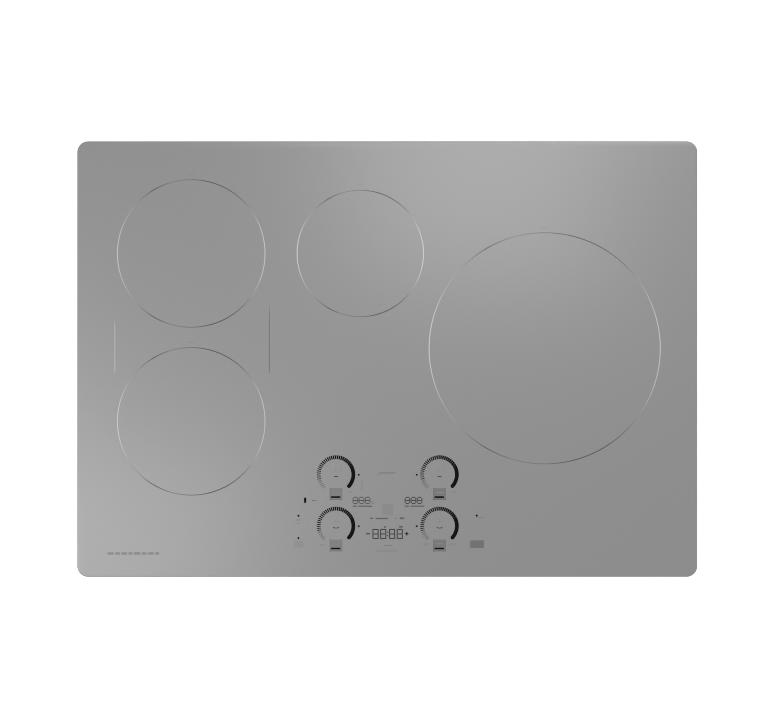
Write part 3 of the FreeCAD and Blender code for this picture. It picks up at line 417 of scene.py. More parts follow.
BRUSHED_X = (0.04, 1, 1)
MATERIALS = {
    "silver_glass": silver_glass(),
    "foam": foam(),
    "silicone": rubber("silicone_bond", (0.045, 0.045, 0.048)),
    "zinc_sheet": zinc_sheet(),
    "zinc_screw": metal("zinc_screw", (0.66, 0.66, 0.63), 0.3, scale=2500),
    "black_steel": metal("black_steel", (0.035, 0.035, 0.038), 0.42, scale=1600, Coat_Weight=0.3,
                         Coat_Roughness=0.3),
    "aluminium": metal("sheet_aluminium", (0.76, 0.77, 0.78), 0.34, grain=BRUSHED_X),
    "plate": metal("plate_aluminium", (0.46, 0.47, 0.48), 0.45, grain=BRUSHED_X),
    "black_moulding": moulded("black_moulding", (0.022, 0.022, 0.024)),
    "grey_moulding": moulded("grey_moulding", (0.16, 0.17, 0.18)),
    "white_moulding": moulded("white_moulding", (0.74, 0.74, 0.71), 0.4),
    "board": circuit_board(),
    "display": moulded("display_block", (0.02, 0.02, 0.022), 0.18, grain=400, depth=0.00001),
    "light_guide": clear_plastic(),
    "spring": metal("spring_steel", (0.56, 0.56, 0.57), 0.22, scale=3000),
    "litz": litz(),
    "ferrite": ferrite(),
    "mica": mica(),
    "ceramic": ceramic(),
    "film": moulded("film_block", (0.60, 0.57, 0.47), 0.3),
    "sleeve": braided("lead_sleeve", (0.42, 0.05, 0.035)),
    "ribbon": moulded("ribbon_sheath", (0.42, 0.44, 0.48), 0.4),
    "pad": rubber("rubber_pad"),
    "nickel": metal("nickel_brass", (0.70, 0.66, 0.56), 0.28, scale=2000),
    "choke_core": moulded("choke_core", (0.10, 0.28, 0.16), 0.4),
    "enamelled": metal("enamelled_wire", (0.60, 0.22, 0.07), 0.25, Coat_Weight=0.6, Coat_Roughness=0.1),
    "plate_ink": moulded("plate_ink", (0.03, 0.03, 0.03), 0.5),
    "ring_ink_painted_sheen": ring_ink_painted_sheen(),
    "black_ink": black_ink(),
    "bright_ink": veil_ink("bright_ink", 1.6),
    "mark_ink": veil_ink("mark_ink", 0.08),
    "text_ink": veil_ink("text_ink", 0.36),
    "deep_key_ink": veil_ink("deep_key_ink", 0.64),
    "trace_ink": veil_ink("trace_ink", 0.94),
    "line_ink": veil_ink("line_ink", 0.55),
    "key_ink": veil_ink("key_ink", 0.72),
    "faint_ink": veil_ink("faint_ink", 0.88),
}

NODE_SURFACES = {
    "silver_glass": ["glass_top"],
    "foam": ["edge_gasket"],
    "silicone": ["silicone_bond"],
    "zinc_sheet": ["base_pan", "deck_rails", "hold_down_brackets"],
    "zinc_screw": ["case_screws", "clamp_screw_left", "clamp_screw_right"],
    "black_steel": ["support_frame"],
    "aluminium": ["coil_deck", "heatsinks"],
    "plate": ["rating_plate"],
    "black_moulding": ["touch_board_tray", "power_transistors", "fan_frames", "fan_rotor_left",
                       "fan_rotor_right"],
    "grey_moulding": ["air_ducts"],
    "white_moulding": ["board_standoffs", "terminal_block"],
    "board": ["touch_board", "inverter_boards", "filter_board"],
    "display": ["timer_display", "zone_displays"],
    "light_guide": ["dial_light_guides"],
    "spring": ["touch_springs"],
    "litz": ["filter_choke"],
    "film": ["film_capacitors"],
    "sleeve": ["coil_leads"],
    "ribbon": ["control_ribbon_cable"],
    "pad": ["clamp_pad_left", "clamp_pad_right"],
    "nickel": ["conduit_gland", "gland_locknut"],
}
ZONE_SURFACES = {
    "coil_carrier": "black_moulding",
    "coil_ferrites": "ferrite",
    "coil_winding": "litz",
    "coil_insulation": "mica",
    "coil_springs": "spring",
    "temperature_sensor": "ceramic",
}


def dress(node, surface):
    mesh = NODES[node].data
    mesh.materials.clear()
    mesh.materials.append(MATERIALS[surface])


for surface, names in NODE_SURFACES.items():
    for node_name in names:
        dress(node_name, surface)
for zone in ZONE_NAMES:
    for part, surface in ZONE_SURFACES.items():
        dress(zone + "_" + part, surface)


def dress_also(node, surface, chosen):
    """A second finish on the faces of a CAD node whose middle point is chosen."""
    mesh = NODES[node].data
    mesh.materials.append(MATERIALS[surface])
    index = len(mesh.materials) - 1
    for polygon in mesh.polygons:
        if chosen(polygon.center):
            polygon.material_index = index


def above(node, height):
    """The level a height, in millimetres, over a node's underside."""
    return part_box(node)[0].z + height * MM


def dress_small_parts():
    """Relays, studs, chips, legs and screws that share a node with what carries them."""
    board_face = above("inverter_boards", 1.7)
    relays_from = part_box("inverter_boards")[1].y - 30 * MM
    dress_also("inverter_boards", "display", lambda at: at.z > board_face and at.y > relays_from)
    dress_also("inverter_boards", "zinc_screw", lambda at: at.z > board_face and at.y <= relays_from)
    capacitors_to = 85 * MM
    dress_also("filter_board", "white_moulding", lambda at: at.z > board_face and at.y < capacitors_to)
    dress_also("filter_board", "ceramic", lambda at: at.z > board_face and at.y >= capacitors_to)
    chips_to = above("touch_board", 1.55)
    dress_also("touch_board", "display", lambda at: at.z < chips_to)
    legs_to = above("power_transistors", 7.5)
    dress_also("power_transistors", "zinc_screw", lambda at: at.z < legs_to)
    block_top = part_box("terminal_block")[1].z
    screws_from, screws_to = block_top - 11.8 * MM, block_top - 8.8 * MM
    dress_also("terminal_block", "nickel", lambda at: screws_from < at.z < screws_to)
    for zone in ZONE_NAMES:
        node = zone + "_temperature_sensor"
        stem_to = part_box(node)[1].z - 9.4 * MM
        dress_also(node, "spring", lambda at: at.z < stem_to)



dress_small_parts()


# ---------------------------------------------------------------- mesh helpers

def finished(name, bm, surface, body, smooth=True, place=(0, 0, 0)):
    """A new object from a bmesh whose points are in the row frame; place becomes its origin."""
    bmesh.ops.recalc_face_normals(bm, faces=bm.faces)
    mesh = bpy.data.meshes.new(name)
    bmesh.ops.translate(bm, verts=bm.verts, vec=-Vector(place))
    bm.to_mesh(mesh)
    bm.free()
    for polygon in mesh.polygons:
        polygon.use_smooth = smooth
    mesh.materials.append(MATERIALS[surface])
    made = bpy.data.objects.new(name, mesh)
    made.location = place
    bpy.context.scene.collection.objects.link(made)
    if body:
        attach(made, body)
    return made


def polar(center, radius, degrees):
    angle = math.radians(degrees)
    return center[0] + radius * math.cos(angle), center[1] + radius * math.sin(angle)


def arc_points(center, radius, start, end, steps):
    return [polar(center, radius, start + (end - start) * i / steps) for i in range(steps + 1)]


def level_loop(bm, outline, z):
    return [bm.verts.new((x, y, z)) for x, y in outline]


def level_ring(bm, center, z, steps, radius_at):
    """A level loop of points whose distance from the centre follows their angle in degrees."""
    angles = [360 * i / steps for i in range(steps)]
    return level_loop(bm, [polar(center, radius_at(at), at) for at in angles], z)


def skin(bm, loops, capped=True):
    """Faces from each loop of points to the next, and over the first and the last."""
    for first, second in zip(loops, loops[1:]):
        for i in range(len(first)):
            j = (i + 1) % len(first)
            bm.faces.new((first[i], first[j], second[j], second[i]))
    if capped:
        bm.faces.new(list(reversed(loops[0])))
        bm.faces.new(loops[-1])


def sharpen(piece, degrees=40):
    """Edges that turn more than this stay crisp."""
    piece.data.set_sharp_from_angle(angle=math.radians(degrees))


# ---------------------------------------------------------------- the glass

def rounded_loop(low, high, corner, steps):
    """Points round a rectangle with round corners, counterclockwise."""
    points = []
    for x, y, start in ((high.x - corner, high.y - corner, 0), (low.x + corner, high.y - corner, 90),
                        (low.x + corner, low.y + corner, 180), (high.x - corner, low.y + corner, 270)):
        points += arc_points((x, y), corner, start, start + 90, steps)
    return points


GLASS_CORNER = 13.5 * MM
GLASS_BEVEL = 1.4 * MM
GLASS_CHAMFER = 0.5 * MM
CORNER_STEPS = 20
BEVEL_STEPS = 6


def glass_plate():
    """The plate with true round corners and a polished edge, in place of the faceted one."""
    profile = [(GLASS_BEVEL, GLASS_LOW.z), (GLASS_CHAMFER, GLASS_LOW.z), (0.0, GLASS_LOW.z + GLASS_CHAMFER)]
    for i in range(BEVEL_STEPS + 1):
        angle = math.pi / 2 * i / BEVEL_STEPS
        profile.append((GLASS_BEVEL * (1 - math.cos(angle)), GLASS_TOP - GLASS_BEVEL * (1 - math.sin(angle))))
    bm = bmesh.new()
    loops = []
    for inset, z in profile:
        low = Vector((GLASS_LOW.x + inset, GLASS_LOW.y + inset))
        high = Vector((GLASS_HIGH.x - inset, GLASS_HIGH.y - inset))
        loops.append(level_loop(bm, rounded_loop(low, high, GLASS_CORNER - inset, CORNER_STEPS), z))
    skin(bm, loops)
    plate = finished("glass_plate", bm, "silver_glass", "base")
    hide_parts("glass_top")
    sharpen(plate)


# ---------------------------------------------------------------- print on the glass

PRINT_THICKNESS = 0.05 * MM


def stamp(bm, outline, thickness):
    """A flat printed shape on the glass from a closed outline."""
    skin(bm, [level_loop(bm, outline, GLASS_TOP), level_loop(bm, outline, GLASS_TOP + thickness)])


def stamp_ring(bm, center, inner, outer, steps=240):
    """A closed printed ring."""
    top = GLASS_TOP + PRINT_THICKNESS
    section = ((inner, GLASS_TOP), (outer, GLASS_TOP), (outer, top), (inner, top))
    loops = [level_ring(bm, center, z, steps, lambda at: radius) for radius, z in section]
    skin(bm, loops + loops[:1], capped=False)


def arc_band(center, inner, outer, start, end, steps):
    return (arc_points(center, outer, start, end, steps)
            + list(reversed(arc_points(center, inner, start, end, steps))))


def bar(x, y, width, height, corner=0.0):
    """A bar about its middle, its corners round if a radius is given."""
    low = Vector((x - width / 2, y - height / 2))
    high = Vector((x + width / 2, y + height / 2))
    if corner <= 0:
        return [(low.x, low.y), (high.x, low.y), (high.x, high.y), (low.x, high.y)]
    return rounded_loop(low, high, min(corner, width / 2.01, height / 2.01), 4)


def dot(x, y, radius):
    return arc_points((x, y), radius, 0, 345, 23)


class Print:
    """Outlines in one ink, given in millimetres from a middle point, made into one thin piece."""

    def __init__(self, name, ink, layer=1):
        self.name = name
        self.ink = ink
        self.layer = layer
        self.outlines = []

    def add(self, outlines, x=0.0, y=0.0):
        for outline in outlines:
            self.outlines.append([(x + px * MM, y + py * MM) for px, py in outline])

    def make(self):
        bm = bmesh.new()
        for outline in self.outlines:
            stamp(bm, outline, self.layer * PRINT_THICKNESS)
        finished(self.name, bm, self.ink, "base", smooth=False)


RING_MARGIN = 3.0
RING_LINE = 1.15
RING_REGISTER = (0.5, -0.65)


def zone_ring(zone):
    """The printed ring over one coil, with a short index mark behind it."""
    low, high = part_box(zone + "_coil_insulation")
    center = (low + high) / 2 + Vector((*RING_REGISTER, 0)) * MM
    radius = (high.x - low.x) / 2 + RING_MARGIN * MM
    half = RING_LINE * MM / 2
    bm = bmesh.new()
    stamp_ring(bm, center, radius - half, radius + half)
    ring = finished("print_ring_" + zone, bm, "ring_ink_painted_sheen", "base",
                    place=(center.x, center.y, GLASS_TOP))
    sharpen(ring)
    index = Print("print_index_" + zone, "faint_ink")
    index.add([bar(0, 6.6, 9.0, 1.1, 0.4)], center.x, center.y + radius)
    index.make()
    return center, radius


def bridge_lines(rear, front, radius):
    """Two upright lines beside the left zones that mark them as one; each thins out to the rear."""
    middle_y = (rear.y + front.y) / 2
    for name, offset, ink, full, tip in (("left", -radius - 3.2 * MM, "bright_ink", 10.5, 21.5),
                                         ("right", radius + 5.2 * MM, "line_ink", 19.4, 39.4)):
        line = Print("print_bridge_" + name, ink)
        line.add([[(-0.6, -42.8), (0.6, -42.8), (0.6, full), (0.15, tip), (-0.15, tip), (-0.6, full)]],
                 rear.x + offset, middle_y)
        line.make()


DIAL_INNER = 18.8
DIAL_OUTER = 23.5
DIAL_START = 228.0
DIAL_END = -42.0
DIAL_TICKS = 42
PALE_TICKS = 5
DIAL_SOLID_FROM = 32
TICK_LEAD = 0.25
DIAL_REGISTER = {"left": (0.1, 0.2), "right": (0.55, 0.2)}


def dial_centers():
    """Centres of the four dials, from the box round their light guides: rear pair, then front pair."""
    low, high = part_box("dial_light_guides")
    outer = DIAL_OUTER * MM
    drop = outer * math.sin(math.radians(DIAL_START - 180))
    centers = []
    for y in (high.y - outer, low.y + drop):
        for side, x in (("left", low.x + outer), ("right", high.x - outer)):
            right, back = DIAL_REGISTER[side]
            centers.append((x + right * MM, y + back * MM))
    return centers


def dial_ticks(first, last):
    """Ticks of a dial that widen clockwise."""
    step = (DIAL_START - DIAL_END) / DIAL_TICKS
    ticks = []
    for i in range(first, last):
        share = 0.30 + 0.68 * i / DIAL_SOLID_FROM
        at = DIAL_START - step * (i + TICK_LEAD)
        half = step * share / 2
        ticks.append(arc_band((0, 0), DIAL_INNER, DIAL_OUTER, at + half, at - half, 3))
    return ticks


def dial_band():
    """The solid end of a dial's scale, with a blunt round tip."""
    start = DIAL_START - (DIAL_START - DIAL_END) / DIAL_TICKS * (DIAL_SOLID_FROM - TICK_LEAD)
    tip = polar((0, 0), (DIAL_INNER + DIAL_OUTER) / 2, DIAL_END)
    cap = arc_points(tip, (DIAL_OUTER - DIAL_INNER) / 2, DIAL_END, DIAL_END - 180, 8)
    return (arc_points((0, 0), DIAL_OUTER, start, DIAL_END, 36) + cap[1:-1]
            + list(reversed(arc_points((0, 0), DIAL_INNER, start, DIAL_END, 36))))


def digit(x, y, width, height, stroke, cut=0.0):
    """Seven segments of one digit, mitred at its corners, which may be cut off, and pointed at its waist."""
    w, h = width / 2, height / 2
    gap, point = 0.06 * stroke, stroke / 2
    outer, inner = w - gap, w - stroke - gap
    waist = [(point - outer, 0), (-inner, point), (inner, point), (outer - point, 0), (inner, -point),
             (-inner, -point)]
    outlines = [waist]
    for up in (-1, 1):
        outlines.append([(cut - outer, up * h), (outer - cut, up * h), (inner, up * (h - stroke)),
                         (-inner, up * (h - stroke))])
        for side in (-1, 1):
            inside = side * (w - stroke)
            outlines.append([(side * w, up * (h - gap - cut)), (side * w, up * gap),
                             (side * (w - point), up * gap), (inside, up * (point + gap)),
                             (inside, up * (h - stroke - gap))])
    return [[(x + px, y + py) for px, py in outline] for outline in outlines]


def words(x, y, widths, height=1.5, gap=1.2):
    """A row of short bars that stands for a line of small wording, from its left end."""
    outlines = []
    for width in widths:
        outlines.append(bar(x + width / 2, y, width, height, 0.3 * height))
        x += width + gap
    return outlines


def dial_prints(prints):
    """Scale, key, pointer dot and icon of each dial."""
    black, marks, lines, faint = (prints[ink] for ink in ("black", "mark", "line", "faint"))
    for index, (x, y) in enumerate(dial_centers()):
        on_left = index % 2 == 0
        in_front = index > 1
        black.add(dial_ticks(PALE_TICKS, DIAL_SOLID_FROM) + [dial_band()], x, y)
        prints["pale"].add(dial_ticks(0, PALE_TICKS), x, y)
        black.add([dot(27.7 if on_left else -27.8, -0.3, 1.2)], x, y)
        prints["key" if on_left else "deep_key"].add([bar(0, -23.8, 15.2, 14.4, 0.5)], x, y)
        lines.add([bar(-7.3, -23.8, 0.9, 14.4), bar(7.3, -23.8, 0.5, 14.4), bar(0, -30.6, 15.2, 0.9)], x, y)
        black.add([bar(-0.4, -27.5, 11.7, 2.1, 0.6)], x, y)
        if in_front:
            marks.add([arc_band((0, 5.0), 7.1, 8.1, 242, 298, 8)], x, y)
            faint.add([bar(-0.7, 5.6, 0.9, 4.6), bar(2.6, 5.0, 4.0, 0.9)], x, y)
        else:
            marks.add([bar(0, -2.6, 5.2, 1.2, 0.6)], x, y)
            faint.add([bar(-0.8, 5.8, 0.9, 4.8), bar(6.0, 5.8, 0.9, 4.8)], x, y)
        if not on_left:
            prints["trace"].add([bar(0, -21.9, 9.0, 1.0)], x, y)


def readout_prints(prints):
    """The timer's four digits and each zone group's three, with their captions."""
    marks, text = prints["mark"], prints["text"]
    timer = middle("timer_display")
    for offset in (-14.9, -5.5, 5.3, 14.6):
        marks.add(digit(offset, 0, 7.6, 12.4, 1.3), timer.x, timer.y)
    marks.add([dot(0, 2.1, 0.8), dot(0, -2.1, 0.8)], timer.x, timer.y)
    marks.add([bar(-24.0, 0.2, 5.4, 1.4, 0.6), bar(23.2, 0.3, 4.2, 1.6), bar(23.2, 0.3, 1.6, 4.2)],
              timer.x, timer.y)
    text.add(words(-4.8, 8.6, (2.8,), 1.8) + words(13.6, 8.8, (4.8,), 2.2), timer.x, timer.y)
    text.add(words(-21.2, 19.1, (3.2,), 2.0) + words(-15.0, 18.9, (15.0,), 1.8)
             + words(8.8, 19.1, (1.2,), 1.6) + words(14.6, 19.1, (5.6,), 2.3), timer.x, timer.y)
    prints["faint"].add([bar(-1.3, -20.7, 25, 2.6), bar(-0.1, 29.6, 13.2, 13.0, 0.6)], timer.x, timer.y)
    prints["line"].add([bar(0.5, -13.9, 9.8, 0.7)], timer.x, timer.y)
    low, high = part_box("zone_displays")
    y = (low.y + high.y) / 2
    for x, stroke in ((low.x + 12.3 * MM, 1.0), (high.x - 12.5 * MM, 1.2)):
        for offset in (-7.4, 0.0, 7.4):
            marks.add(digit(offset, 0, 6.9, 8.9, stroke, 1.3), x, y)
        text.add(words(-10.9, -7.0, (5.4, 17.2), 1.5, 1.6), x, y)
    marks.add([dot(13.4, -1.0, 0.5), dot(13.4, -3.4, 0.5), dot(16.2, -3.0, 0.45)], low.x + 12.5 * MM, y)


def side_prints(prints):
    """Lock pill, dots and key at the two ends of the controls, in millimetres from the glass's middle."""
    black, lines, faint = prints["black"], prints["line"], prints["faint"]
    black.add([bar(-100.1, -172.1, 2.8, 6.9, 1.4)])
    lines.add([bar(-89.2, -172.7, 5.6, 1.2)])
    black.add([dot(-108.3, -191.1, 1.3), dot(-108.3, -218.3, 1.25), dot(109.1, -190.9, 1.35)])
    faint.add([bar(-108.6, -196.3, 5.4, 1.8), bar(-108.8, -200.5, 5.0, 1.8)])
    prints["trace"].add([bar(-108.2, -226.0, 12.0, 8.0, 3.0)])
    lines.add([bar(114.8, -193.6, 8.6, 0.5)])
    prints["key"].add([bar(109.0, -225.8, 17.6, 9.4, 0.5)])
    lines.add([bar(109.8, -225.8, 15.8, 9.4, 0.5)])
    lines.add([bar(0.0, -138.9, 20.0, 1.1), bar(-10.6, -140.2, 2.8, 0.7)])
    faint.add([bar(48.0, -225.8, 6.4, 3.0), bar(79.5, -226.0, 9.0, 2.6), bar(-79.0, -226.6, 5.6, 1.6),
               bar(-45.6, -162.4, 5.6, 1.4), bar(82.0, -162.4, 6.4, 2.4), bar(-31.2, -154.0, 2.0, 12.0)])
    prints["key"].add(words(-341.4, -237.1, (8.0, 6.0, 7.0, 5.0, 8.0, 6.0, 7.0, 5.0), 3.0, 1.6))


LAYERS = {"black": 3, "pale": 2, "mark": 2, "text": 2, "line": 2, "key": 1, "deep_key": 1, "faint": 2,
          "trace": 2}


def control_prints():
    """Everything printed over the touch board, one thin piece per ink; upper layers cover lower ones."""
    prints = {}
    for ink, layer in LAYERS.items():
        finish = "text_ink" if ink == "pale" else ink + "_ink"
        prints[ink] = Print("print_" + ink, finish, layer)
    dial_prints(prints)
    readout_prints(prints)
    side_prints(prints)
    for each in prints.values():
        each.make()


glass_plate()
zones = {zone: zone_ring(zone) for zone in ZONE_NAMES}
bridge_lines(zones["left_rear"][0], zones["left_front"][0], zones["left_rear"][1])
control_prints()


# ---------------------------------------------------------------- wire, springs and threads

def sweep(bm, path, sections):
    """A closed skin along a path; sections gives each point's outline, in a frame that never twists."""
    loops = []
    aside = (path[1] - path[0]).orthogonal()
    for i, point in enumerate(path):
        along = (path[min(i + 1, len(path) - 1)] - path[max(i - 1, 0)]).normalized()
        aside = (aside - along * aside.dot(along)).normalized()
        upward = aside.cross(along)
        loops.append([bm.verts.new(point + aside * a + upward * b) for a, b in sections[i]])
    skin(bm, loops)


def wire(bm, path, radius, sides=8):
    circle = [polar((0, 0), radius, 360 * k / sides) for k in range(sides)]
    sweep(bm, path, [circle] * len(path))


STRANDS = 5
STRAND_HOLLOW = 0.84
LAY_PER_MM = 9.0
LITZ_STEP = 4.0


def litz_wire(bm, path, radius):
    """Twisted wire: a star section that turns as it goes, so that its strands wind round it."""
    sections = []
    for i in range(len(path)):
        section = []
        for k in range(2 * STRANDS):
            reach = radius if k % 2 else STRAND_HOLLOW * radius
            section.append(polar((0, 0), reach, LAY_PER_MM * LITZ_STEP * i + 180 * k / STRANDS))
        sections.append(section)
    sweep(bm, path, sections)


END_TURN = 0.75


def helix(center, radius, low, high, turns, steps=20):
    """A compression spring's centre line, its end turns lying flat."""
    path = []
    for i in range(int((turns + 2 * END_TURN) * steps) + 1):
        turn = i / steps
        climb = min(max((turn - END_TURN) / turns, 0.0), 1.0)
        x, y = polar(center, radius, 360 * turn)
        path.append(Vector((x, y, low + (high - low) * climb)))
    return path


COIL_INNER = 26.0
TURN_PITCH = 3.88
WIRE_FILL = 0.495
FERRITE_BARS = {"left_rear": 8, "left_front": 8, "center_rear": 8, "right": 12}


def coil_winding(zone):
    """A flat spiral of litz wire, its turns side by side."""
    node = zone + "_coil_winding"
    low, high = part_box(node)
    center = (low + high) / 2
    outer = (high.x - low.x) / 2 / MM
    turns = round((outer - COIL_INNER) / TURN_PITCH) - 1
    path = []
    angle = 0.0
    while angle < 2 * math.pi * turns:
        r = COIL_INNER + TURN_PITCH * (0.5 + angle / (2 * math.pi))
        x, y = polar(center, r * MM, math.degrees(angle))
        path.append(Vector((x, y, center.z)))
        angle += LITZ_STEP / r
    bm = bmesh.new()
    litz_wire(bm, path, WIRE_FILL * TURN_PITCH * MM)
    made = finished(zone + "_litz_spiral", bm, "litz", zone + "_coil", place=tuple(center))
    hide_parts(node)


LIFT_SPRING = {"radius": 4.6 * MM, "wire_radius": 0.5 * MM, "turns": 4}
SENSOR_SPRING = {"radius": 5.6 * MM, "wire_radius": 0.35 * MM, "turns": 3}
SENSOR_SPRING_LENGTH = 6.7 * MM
LIFT_SPRING_REACH = 0.66
SEAT_DEPTH = 0.9 * MM


def spring(bm, center, low, high, radius, wire_radius, turns):
    """A compression spring that fills the height from low to high."""
    wire(bm, helix(center, radius, low + wire_radius, high - wire_radius, turns), wire_radius)


def springs(zone):
    """Three springs under the coil and one under its sensor."""
    node = zone + "_coil_springs"
    low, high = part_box(node)
    center = middle(zone + "_coil_insulation")
    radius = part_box(zone + "_coil_insulation")[1].x - center.x
    bars = FERRITE_BARS[zone]
    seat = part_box(zone + "_coil_ferrites")[0].z - SEAT_DEPTH
    bm = bmesh.new()
    for third in range(3):
        bearing = 360 / bars * (0.5 + round(third * bars / 3))
        spring(bm, polar(center, LIFT_SPRING_REACH * radius, bearing), low.z, seat, **LIFT_SPRING)
    made = finished(zone + "_lift_springs", bm, "spring", "base")
    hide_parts(node)
    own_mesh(made)
    sensor_low = high.z - SENSOR_SPRING_LENGTH
    bm = bmesh.new()
    spring(bm, center, sensor_low, high.z, **SENSOR_SPRING)
    made = finished(zone + "_sensor_spring", bm, "spring", zone + "_coil")
    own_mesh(made)


def lathe(bm, center, outline, steps=48, ripple=lambda at: 1.0):
    """A turned solid about a vertical axis from (radius, z) points; ripple varies the radius round it."""
    skin(bm, [level_ring(bm, center, z, steps, lambda at: radius * ripple(at)) for radius, z in outline])


SCREW_PITCH = 1.0 * MM
SCREW_CREST = 3.0 * MM
THREAD_DEPTH = 0.45 * MM
ROWS_PER_PITCH = 4
KNOB_HEIGHT = 8.0 * MM
KNOB_EDGE = 0.8 * MM
FLUTES = 10
FLUTE_DEPTH = 0.11


def thread_skin(bm, center, low, high, steps=24):
    """A threaded shank: a skin whose radius rises and falls once for each pitch along a helix."""
    rows = int((high - low) / SCREW_PITCH * ROWS_PER_PITCH)
    loops = []
    for row in range(rows + 1):
        z = low + (high - low) * row / rows

        def cut(at):
            phase = (z / SCREW_PITCH - at / 360) % 1.0
            return SCREW_CREST - THREAD_DEPTH * abs(2 * phase - 1)
        loops.append(level_ring(bm, center, z, steps, cut))
    skin(bm, loops)


def fluted(at):
    return 1.0 - FLUTE_DEPTH * max(0.0, math.cos(math.radians(FLUTES * at))) ** 2


def clamp_screw(side):
    """The hold-down screw, with a cut thread and a fluted knob."""
    node = "clamp_screw_" + side
    low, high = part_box(node)
    center = (low + high) / 2
    radius = (high.x - low.x) / 2
    edge = KNOB_EDGE
    top = low.z + KNOB_HEIGHT
    bm = bmesh.new()
    thread_skin(bm, center, top - edge, high.z - edge)
    lathe(bm, center, [(2.5 * MM, high.z - edge - 0.2 * MM), (2.3 * MM, high.z)], 24)
    lower_half = [(radius - edge, low.z), (radius - 0.2 * edge, low.z + 0.3 * edge), (radius, low.z + edge)]
    upper_half = [(r, low.z + top - z) for r, z in reversed(lower_half)]
    lathe(bm, center, lower_half + upper_half, 80, fluted)
    made = finished("threaded_" + node, bm, "zinc_screw", node, place=tuple(center))
    sharpen(made, 35)
    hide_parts(node)


LEAD_RADIUS = 1.8 * MM
LEAD_GAP = 4.0 * MM
LEAD_ANGLES = {"left_rear": 337.5, "left_front": 337.5, "center_rear": 202.5, "right": 195.0}
LEAD_ENDS = {"left_rear": (-172.0, 60.0), "left_front": (-172.0, -60.0), "center_rear": (-168.0, 110.0),
             "right": (168.0, -20.0)}


LEAD_DROP = (95.0, 80.0)
LEAD_CROSSING = 62.0
LEAD_LANDING = (44.0, 30.0)
LUG = ((3.0, 0.0), (3.0, 0.9), (2.3, 1.2), (2.3, 7.0), (2.1, 7.2))


def coil_leads(zone):
    """A coil's two sleeved leads, with a crimped lug on each stud."""
    center = middle(zone + "_coil_insulation")
    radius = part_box(zone + "_coil_insulation")[1].x - center.x
    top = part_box(zone + "_coil_ferrites")[1].z
    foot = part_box("coil_leads")[0].z
    start_x, start_y = polar(center, 0.75 * radius, LEAD_ANGLES[zone])
    end_x, end_y = (value * MM for value in LEAD_ENDS[zone])
    across = math.radians(LEAD_ANGLES[zone] + 90)
    leads = bmesh.new()
    lugs = bmesh.new()
    for side in (-LEAD_GAP, LEAD_GAP):
        x = start_x + side * math.cos(across)
        y = start_y + side * math.sin(across)
        landing = end_y + side
        corners = [Vector((x, y, top + 1 * MM))]
        corners += [Vector((x, y, z * MM)) for z in LEAD_DROP]
        corners.append(Vector(((x + end_x) / 2, (y + landing) / 2, LEAD_CROSSING * MM)))
        corners += [Vector((end_x, landing, z * MM)) for z in LEAD_LANDING]
        corners.append(Vector((end_x, landing, foot + 3 * MM)))
        wire(leads, rounded_path(corners, 8), LEAD_RADIUS, 10)
        lathe(lugs, (end_x, landing), [(r * MM, foot + z * MM) for r, z in LUG], 24)
    made = finished(zone + "_leads", leads, "sleeve", None)
    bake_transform(made)
    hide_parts("coil_leads")
    sharpen(finished(zone + "_lead_lugs", lugs, "zinc_screw", "base"))


CORE_INNER = 11 * MM
CORE_OUTER = 21 * MM
CORE_HALF = 8 * MM
CORE_EDGE = 1.2 * MM
CORE_DROP = 24.6 * MM
CORE_STEPS = 64
CHOKE_WIRE = 0.95 * MM
CHOKE_TURNS = 10
CHOKE_STEP = 13.6
WINDINGS_FROM = (-62, 118)
CHOKE_BASE_HEIGHT = 3 * MM
CHOKE_CHEEK = Vector((3, 6, 6)) * MM


def around_core(center, radius, across, degrees):
    """A point of the choke, whose axis lies along Y."""
    x, z = polar((center.x, center.z), radius, degrees)
    return Vector((x, center.y + across, z))


def choke_core(center):
    edge = CORE_EDGE
    half = [(CORE_INNER, CORE_HALF - edge), (CORE_INNER + edge, CORE_HALF), (CORE_OUTER - edge, CORE_HALF),
            (CORE_OUTER, CORE_HALF - edge)]
    outline = half + [(radius, -across) for radius, across in reversed(half)]
    bm = bmesh.new()
    loops = []
    for i in range(CORE_STEPS):
        at = 360 * i / CORE_STEPS
        loops.append([bm.verts.new(around_core(center, radius, across, at)) for radius, across in outline])
    skin(bm, loops + loops[:1], capped=False)
    core = finished("choke_core", bm, "choke_core", "base")
    sharpen(core)
    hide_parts("filter_choke")


def choke_winding(center):
    """Two windings on opposite sides of the core, each turn over the outside, a face, the bore and back."""
    inside, outside, side = CORE_INNER - CHOKE_WIRE, CORE_OUTER + CHOKE_WIRE, CORE_HALF + CHOKE_WIRE
    turn = ((0.0, outside, -side), (0.18, outside + 0.6 * MM, 0), (0.36, outside, side),
            (0.5, (inside + outside) / 2, side + 0.4 * MM), (0.62, inside, side),
            (0.75, inside - 0.5 * MM, 0), (0.88, inside, -side))
    bm = bmesh.new()
    for first in WINDINGS_FROM:
        path = [around_core(center, radius, across, first + CHOKE_STEP * (i + share))
                for i in range(CHOKE_TURNS) for share, radius, across in turn]
        wire(bm, rounded_path(path), CHOKE_WIRE)
    finished("choke_winding", bm, "enamelled", "base")


def choke_base(low, high, center):
    """A plate with a cheek at each end of the core."""
    bm = bmesh.new()
    top = low.z + CHOKE_BASE_HEIGHT
    box_solid(bm, low, (high.x, high.y, top))
    for side in (-1, 1):
        foot = Vector((center.x + side * 22 * MM, center.y, top))
        reach = Vector((CHOKE_CHEEK.x, CHOKE_CHEEK.y, 0))
        box_solid(bm, foot - reach, foot + CHOKE_CHEEK)
    bevelled(bm, 0.5 * MM)
    finished("choke_base", bm, "black_moulding", "base", smooth=False)


